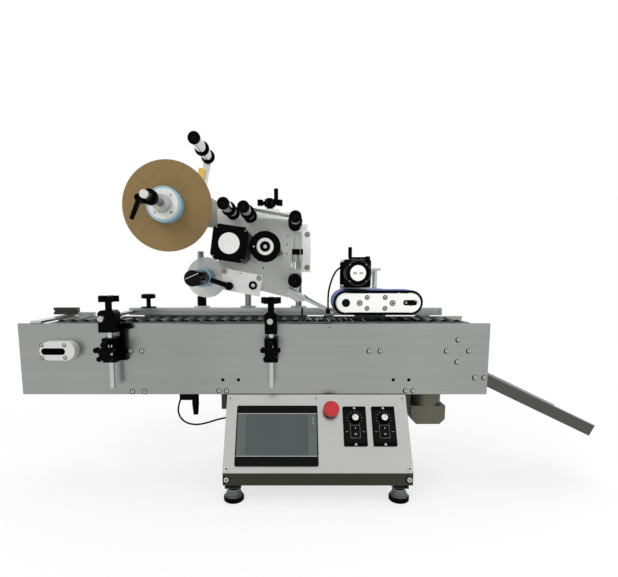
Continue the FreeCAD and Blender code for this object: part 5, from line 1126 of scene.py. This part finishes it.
handDisc(discValues)
backingRewinder(winderValues)
print("drive disc and rewinder made")

motorValues = {
    "x": 545, "z": 630, "half": 43, "corner": 12, "tilt": 8.5, "front": -35, "back": 105,
    "ring": ((30, 1.5), (34, 0), (40, 0), (42, 2), (42, 7), (30, 7)),
    "dish": ((26, 1.6), (26, 3), (30.5, 3), (30.5, 7)),
    "disc": ((25, 1), (25.6, 1.5), (25.6, 2)), "screwReach": 49,
}


def headMotor(values):
    # A stepped motor: eight-sided body, round face ring and a bare pale disc
    half, flat, front = values["half"], values["half"] - values["corner"], values["front"]
    turn = -math.radians(values["tilt"])
    spot = (values["x"], 0, values["z"])
    outline = [(-half, -flat), (-flat, -half), (flat, -half), (half, -flat), (half, flat), (flat, half),
               (-flat, half), (-half, flat)]
    ring, dish, disc = ([(radius, front + back) for radius, back in values[name]]
                        for name in ("ring", "dish", "disc"))
    motor = Shape("headMotor", None, "Y", spot)
    motor.plate([(x * 0.99, z * 0.99) for x, z in outline], front + 5, values["back"], blackMetal, turn)
    motor.plate(outline, front + 6, front + 16, blackPlastic, turn)
    motor.bored(ring, blackPlastic, 72)
    motor.solid(dish, blackRubber, 56)
    motor.solid(disc, whitePlastic, 56)
    for x, z in fourRound(spot, values["screwReach"], turn):
        motor.screw(x, front + 5.6, z, 1.5)
    motor.done("head", ["head_motor"])


headScrews = {
    "holes": ((569.5, 678.9, 2.4), (684.7, 656.5, 1.8), (682.5, 635.2, 1.8), (681.9, 611.2, 1.8),
              (617.8, 573.1, 2.2)),
    "screws": ((737.2, 105, 661.9, 4.6), (737, 105, 573.7, 4.6), (529.6, -8, 563, 4.2),
               (614.5, -8, 546.5, 4.2)),
    "lugs": ((665.8, 95, 611, 3.2), (607.6, 95, 594.4, 3.2)),
    "socket": (599.3, 0, 528.5), "mark": (569, 0, 558), "markTurn": -11,
    "ring": [(5.4, -10.7), (9.6, -10.7), (10.4, -10), (10.4, -8), (5.4, -8)],
    "key": [(3.8, -9.2), (5.6, -8.6), (5.6, -8)],
}


def headFittings(values):
    # Screws, black discs as painted shade in the tapped holes, and the socket ring on the head's front
    # faces
    fittings = Shape("headFittings")
    # Black discs on the face: painted shade in the tapped holes
    for x, z, radius in values["holes"]:
        fittings.disc(radius, 104.7, 105.1, blackMetal, 20, (x, 0, z))
    for place in values["screws"]:
        fittings.screw(*place)
    fittings.bored(values["ring"], blackMetal, 36, values["socket"])
    fittings.solid(values["key"], turnedSteel, 24, values["socket"])
    fittings.plate(oblong(6, 1.6), -8.2, -7.9, blackMetal, math.radians(values["markTurn"]),
                   values["mark"])
    for place in values["lugs"]:
        fittings.screw(*place)
    fittings.done("head", (), 0.1)


webValues = {"radius": 13.1, "thick": 0.4, "front": 27, "back": 97, "steps": 8}


def labelWeb(values):
    # Label stock led over two guide rollers and down past the sensor
    front, back, steps = values["front"], values["back"], values["steps"]
    second, third, low = (middleOf("guide_roller_" + letter) for letter in "bcd")
    lean = math.degrees(math.atan2(third.z - second.z, third.x - second.x))
    rows = []
    for middle, start, end in ((second, 112, 90 + lean), (third, 90 + lean, 0), (low, 0, -70)):
        for i in range(steps + 1):
            angle = math.radians(start + (end - start) * i / steps)
            inner, outer = ((middle.x + radius * math.cos(angle), middle.z + radius * math.sin(angle))
                            for radius in (values["radius"], values["radius"] + values["thick"]))
            rows.append([(x, y, z) for (x, z), y in
                         ((outer, back), (inner, back), (inner, front), (outer, front))])
    web = Shape("labelWeb")
    web.loft(rows, paper)
    web.done("head", (), 0)


headMotor(motorValues)
headFittings(headScrews)
labelWeb(webValues)
print("head fittings made")

driveValues = {
    "down": 35, "wide": 70, "high": 72, "corner": 6,
    "ring": [(24, 18.5), (26, 17), (31, 17), (34.4, 18), (35, 20), (35, 31), (24, 31)],
    "band": [(31.2, 16.9), (31.5, 16.7), (31.8, 16.9), (31.8, 18), (31.2, 18)],
    "plate": [(19.2, 16.2), (20, 16.8), (20, 19.4)], "marks": (-13, 3), "screwReach": 29,
}


def pressDrive(values):
    # Round faced motor with a bare plate, on a ribbed square body
    x, _, _ = axisOf("press_motor")
    high = boxOf("press_motor")[1]
    z = high.z - values["down"]
    motor = Shape("pressMotor", None, "Y", (x, 0, z))
    motor.plate(rounded(values["wide"], values["high"], values["corner"]), 31, high.y, blackMetal, 0,
                (x, 0, z - 1))
    motor.bored(values["ring"], blackPlastic, 64)
    motor.bored(values["band"], postMetal, 64)
    motor.disc(25, 19, 31, blackRubber, 56)
    motor.solid(values["plate"], headPaint)
    for mark in values["marks"]:
        motor.slab((x + mark, 16, z - 3), (x + mark + 10, 16.3, z + 3), greyPlastic)
    for across, up in fourRound((x, 0, z), values["screwReach"]):
        motor.screw(across, 17.1, up, 1.4)
    motor.slab((x - 35, 31.6, z - 33), (x - 33.6, high.y - 2, z + 32), aluminium)
    motor.done("press", ["press_motor"])


pressValues = {
    "face": 25, "middle": 482.4, "bearing": 835.3, "large": (870.4, 955.3), "small": (889.7, 936),
    "rise": 14.1, "slot": (983, 1018), "slotHigh": 14,
}


def pressFittings(values):
    # Bearing ring, plate screws and a black sheet as painted shade in the belt's tension slot on the
    # front plate
    face, z = values["face"], values["middle"]
    bearing = (values["bearing"], 0, z)
    fittings = Shape("pressFittings")
    fittings.bored([(7, face - 1), (9.6, face - 1), (10.6, face - 0.4), (10.6, face), (7, face)],
                   blackMetal, 40, bearing)
    fittings.disc(7, face - 0.3, face, glossBlack, 32, bearing)
    for x in values["large"]:
        fittings.screw(x, face, z - 0.3, 5)
    for x in values["small"]:
        for side in (-1, 1):
            fittings.screw(x, face, z + side * values["rise"], 4.2)
    left, right = values["slot"]
    # A black sheet on the face: painted shade in the tension slot
    fittings.plate(rounded(right - left, values["slotHigh"], 5), face - 0.15, face + 0.1, blackMetal, 0,
                   ((left + right) / 2, 0, z + 0.6))
    fittings.screw(left + 7, face - 0.1, z + 0.6, 3)
    for radius, deep, finish, x, up in ((1.4, 3, amberPlastic, -5, 6), (1.6, 2.4, blueTrim, -1, 4),
                                        (2, 3, whitePlastic, 1, 0.4)):
        fittings.disc(radius, face - deep, face, finish, 16, (right + x, 0, z + up))
    fittings.done("press", (), 0.1)


pressDrive(driveValues)
pressFittings(pressValues)

chuteValues = {"x": 1164, "z": 284.5, "slope": 25.6, "long": 347, "near": 2.5, "far": 190, "wall": 31.8,
               "sheet": 2}


def outfeedChute(values):
    # A folded channel: dark outside, lighter inside, with a bright strip along the top of each wall
    slope = Matrix.Rotation(math.radians(values["slope"]), 4, "Y")
    chute = Shape("outfeedChute", Matrix.Translation((values["x"], 0, values["z"])) @ slope)
    long, near, far = values["long"], values["near"], values["far"]
    wall, sheet = values["wall"], values["sheet"]
    for low, high, finish in (
            ((0, near, 0), (long, far, sheet), chutePaint),
            ((0.2, near + sheet, sheet), (long - 0.2, far - sheet, sheet + 0.15), chuteInside),
            ((0, near, sheet), (long, near + sheet, wall - 2.2), chutePaint),
            ((0, near, wall - 2.2), (long, near + sheet, wall), aluminium),
            ((0, far - sheet, sheet), (long, far, wall - 1.2), chuteInside),
            ((0, far - sheet, wall - 1.2), (long, far, wall), aluminium),
            ((long - 0.3, near, 0), (long, far, sheet), chuteInside)):
        chute.slab(low, high, finish)
    chute.done("machine", ["outfeed_chute"])


footValues = {
    "pad": [(23, 0), (25, 2), (25, 11), (23.4, 12.6)],
    "cone": [(22.6, 12), (22.6, 14), (20.4, 15), (20.6, 17.4), (18.6, 18.4), (18.6, 21.4), (16.8, 22.4),
             (16.6, 25.6), (15, 27), (14.4, 30.6), (11, 32), (8, 33), (8, 36.4)],
}


def levellingFeet(values):
    # Rubber pad under a stepped cone
    feet = Shape("levellingFeet", None, "Z")
    for middle, *_ in looseParts("levelling_feet"):
        spot = (middle.x, middle.y, 0)
        feet.solid(values["pad"], blackRubber, 48, spot)
        feet.solid(values["cone"], greyMetal, 48, spot)
    feet.done("machine", ["levelling_feet"], 0.2)


postValues = {
    "flange": 7, "thin": 7.5, "thick": 9, "thinUnder": 22, "clampUnder": 20, "sleeveBefore": 500,
    "clamp": [(-12, -8), (-6, 9), (6, 9), (16, 0), (10, -9)], "sleeve": 13, "sleeveHigh": 35,
}


def rearPosts(values):
    # Round posts in turned flanges; the first stands in a black sleeve
    posts = Shape("posts", None, "Z")
    for middle, size, _ in looseParts("posts"):
        low, high = middle.z - size.z / 2, middle.z + size.z / 2
        spot = (middle.x, middle.y, 0)
        if size.z < values["clampUnder"]:
            posts.plate(values["clamp"], low, high, turnedSteel, 0, spot)
            continue
        flange = size.x / 2
        thin = flange < values["thinUnder"]
        radius = values["thin"] if thin else values["thick"]
        top = low + values["flange"]
        posts.solid([(flange - 0.8, low), (flange, low + 0.8), (flange, low + 6.2), (flange - 0.8, top)],
                    whitePaint, 48, spot)
        posts.solid([(radius, top), (radius, high - 0.8), (radius - 0.8, high)],
                    chrome if thin else postMetal, 40, spot)
        if middle.x < values["sleeveBefore"]:
            sleeve, end = values["sleeve"], low + values["sleeveHigh"]
            posts.bored([(9, top), (sleeve - 0.6, top), (sleeve, low + 7.6), (sleeve, low + 34),
                         (sleeve - 1, end), (9, end)], blackPlastic, 40, spot)
    posts.done("machine", ["posts"], 0.15)


outfeedChute(chuteValues)
levellingFeet(footValues)
rearPosts(postValues)
print("press motor, feet and posts made")

plainCoats = {
    "front_wall": beamSteel, "rear_wall": beamSteel, "cross_members": deckMetal,
    "outfeed_rail": aluminium, "rear_decks": deckMetal, "guide_brackets": blackMetal,
    "control_panel": panelSteel, "box_brackets": darkSteel,
    "drive_gearmotor": gearPaint, "drive_shaft": greyMetal, "idler_shaft": greyMetal,
    "control_box": oliveSteel, "reel_arm": armPaint,
    "head_housing": whitePaint, "head_knob": blackPlastic, "clip_lever": blackPlastic,
    "press_pulley_a": turnedSteel, "press_pulley_b": turnedSteel,
    "rear_knob": blackPlastic, "star_knob_a": blackPlastic, "star_knob_b": blackPlastic,
    "top_knob_a": blackPlastic, "top_knob_b": blackPlastic,
}
softEdges = {"front_wall": 0.9, "control_panel": 0.5, "head_knob": 0.8, "control_box": 1.0}
for node, finish in plainCoats.items():
    dressed(node, finish, softEdges.get(node, 0.35))

coatedParts = (
    ("chain_tensioner", brightPaint, 0.5, [
        # The slot's faces are black: painted shade in the slot
        (blackMetal, (70.5, -27.5, 355), (130.6, -1, 373))]),
    ("infeed_fittings", aluminium, 0.4, [
        (darkSteel, (-3, 179, 437.9), (66.5, 201, 459)), (turnedSteel, (20, -1, 430), (70, 201, 439)),
        (blackPlastic, (400, 0, 180), (460, 30, 247))]),
    ("guide_lift", blackMetal, 0.8, [
        (chrome, (235, -41, 270), (260, -25, 414.9)), (chrome, (635, -41, 270), (655, -25, 410.5))]),
    ("dancer_arm", whitePaint, 0.35, [(yellowPlastic, (440, 100.9, 803), (468, 104.9, 836))]),
    ("press_crank", blackPlastic, 0.4, [(turnedSteel, (908, 170, 510), (919, 182, 596))]),
    ("press_belt", blueBelt, 0.6, [
        (blackRubber, (790, 31.9, 440), (1050, 32.1, 530)),
        (blackRubber, (790, 120.9, 440), (1050, 121.1, 530))]),
    ("guide_rail", aluminium, 0.4, [
        (turnedSteel, (200, -90, 430), (700, 129, 470)),
        (blackPlastic, (721.9, 120, 430), (730, 160, 470)),
        (blackMetal, (691, 128, 443), (721.9, 131, 459))]),
    ("head_plate", headPaint, 0.5, [(turnedSteel, (500, 74, 500), (740, 104.9, 760))]),
    ("nip_block", brightPaint, 0.5, [
        (turnedSteel, (585, 94, 575), (680, 106, 675)),
        (blackMetal, (588, -12, 515), (610, -8.05, 540))]),
    ("peel_plate", aluminium, 0.4, [(brightPaint, (680, -1, 487), (700, 106, 519))]),
    ("label_sensor", blackPlastic, 0.4, [
        (brightPaint, (689, 59, 557), (723, 106, 568.6)),
        (turnedSteel, (695, 70, 568.6), (716, 78, 606.9))]),
    ("press_frame", headPaint, 0.5, [
        (blackMetal, (868, 31.1, 466), (971, 121.9, 499)),
        (brightSteel, (780, 130, 400), (1060, 260, 700))]),
)
for node, finish, bevel, regions in coatedParts:
    dressed(node, finish, bevel, regions)
print("packed solids dressed")


def backgroundRays(tree):
    # One where a camera, glossy or transmission ray looks at the background
    camera, glossy, clear = (tree.add("ShaderNodeLightPath", {}, {}, kind) for kind in
                             ("Is Camera Ray", "Is Glossy Ray", "Is Transmission Ray"))
    return camera.most(glossy).most(clear)


floorValues = {"reach": 14, "tone": 0.86, "rough": 0.9, "fadeFrom": 0.5, "fadeTo": 1.7, "near": 0.72}


def studio(values):
    # A pale floor that keeps the shadow and fades into the white background
    reach = values["reach"]
    plane = bpy.data.meshes.new("floor")
    plane.from_pydata([(x, y, -0.001) for x, y in oblong(2 * reach, 2 * reach)], [], [(0, 1, 2, 3)])
    finish = Finish("paleFloor", [values["tone"]] * 3, values["rough"])
    away = finish.add("ShaderNodeVectorMath", {"operation": "LENGTH"}, {0: finish.here()}, "Value")
    fade = finish.add("ShaderNodeMapRange", {"interpolation_type": "SMOOTHSTEP"},
                      {0: away, 1: values["fadeFrom"], 2: values["fadeTo"], 3: values["near"], 4: 1.0})
    glow = finish.add("ShaderNodeEmission", {}, {"Strength": 1.0})
    mixed = finish.add("ShaderNodeMixShader", {},
                       {0: backgroundRays(finish) * fade, 1: Wire(finish, finish.shader.outputs[0]),
                        2: glow})
    finish.link(finish.tree.nodes["Material Output"].inputs["Surface"], mixed)
    plane.materials.append(finish.material)
    placed("floor", plane)


lampValues = {
    "key": {"spot": (-1.6, -2.2, 2.6), "size": 1.8, "power": 50},
    "fill": {"spot": (2.4, -1.8, 1.6), "size": 2.0, "power": 25},
    "top": {"spot": (0.2, 0.6, 3.0), "size": 2.4, "power": 36},
}


def lamps(values):
    for name, lamp in values.items():
        data = bpy.data.lights.new(name, "AREA")
        data.energy = lamp["power"]
        data.size = lamp["size"]
        light = placed(name, data)
        light.location = lamp["spot"]
        light.visible_glossy = False
        aim = Vector((0, 0, 0.4)) - light.location
        light.rotation_euler = aim.to_track_quat("-Z", "Y").to_euler()


worldValues = {"ambient": 0.62, "background": 1.0}


def makeWorld(values):
    # One plain level of light; camera, metal and glass all see the white background
    world = bpy.data.worlds.new("studioWorld")
    bpy.context.scene.world = world
    world.use_nodes = True
    world.node_tree.nodes.clear()
    tree = Tree(world.node_tree)
    level = tree.add("ShaderNodeMapRange", {},
                     {0: backgroundRays(tree), 3: values["ambient"], 4: values["background"]})
    background = tree.add("ShaderNodeBackground", {}, {"Color": (1, 1, 1, 1), "Strength": level})
    tree.link(world.node_tree.nodes.new("ShaderNodeOutputWorld").inputs["Surface"], background)


studio(floorValues)
lamps(lampValues)
makeWorld(worldValues)
bpy.context.scene.view_settings.view_transform = "Standard"

print("scene ready")
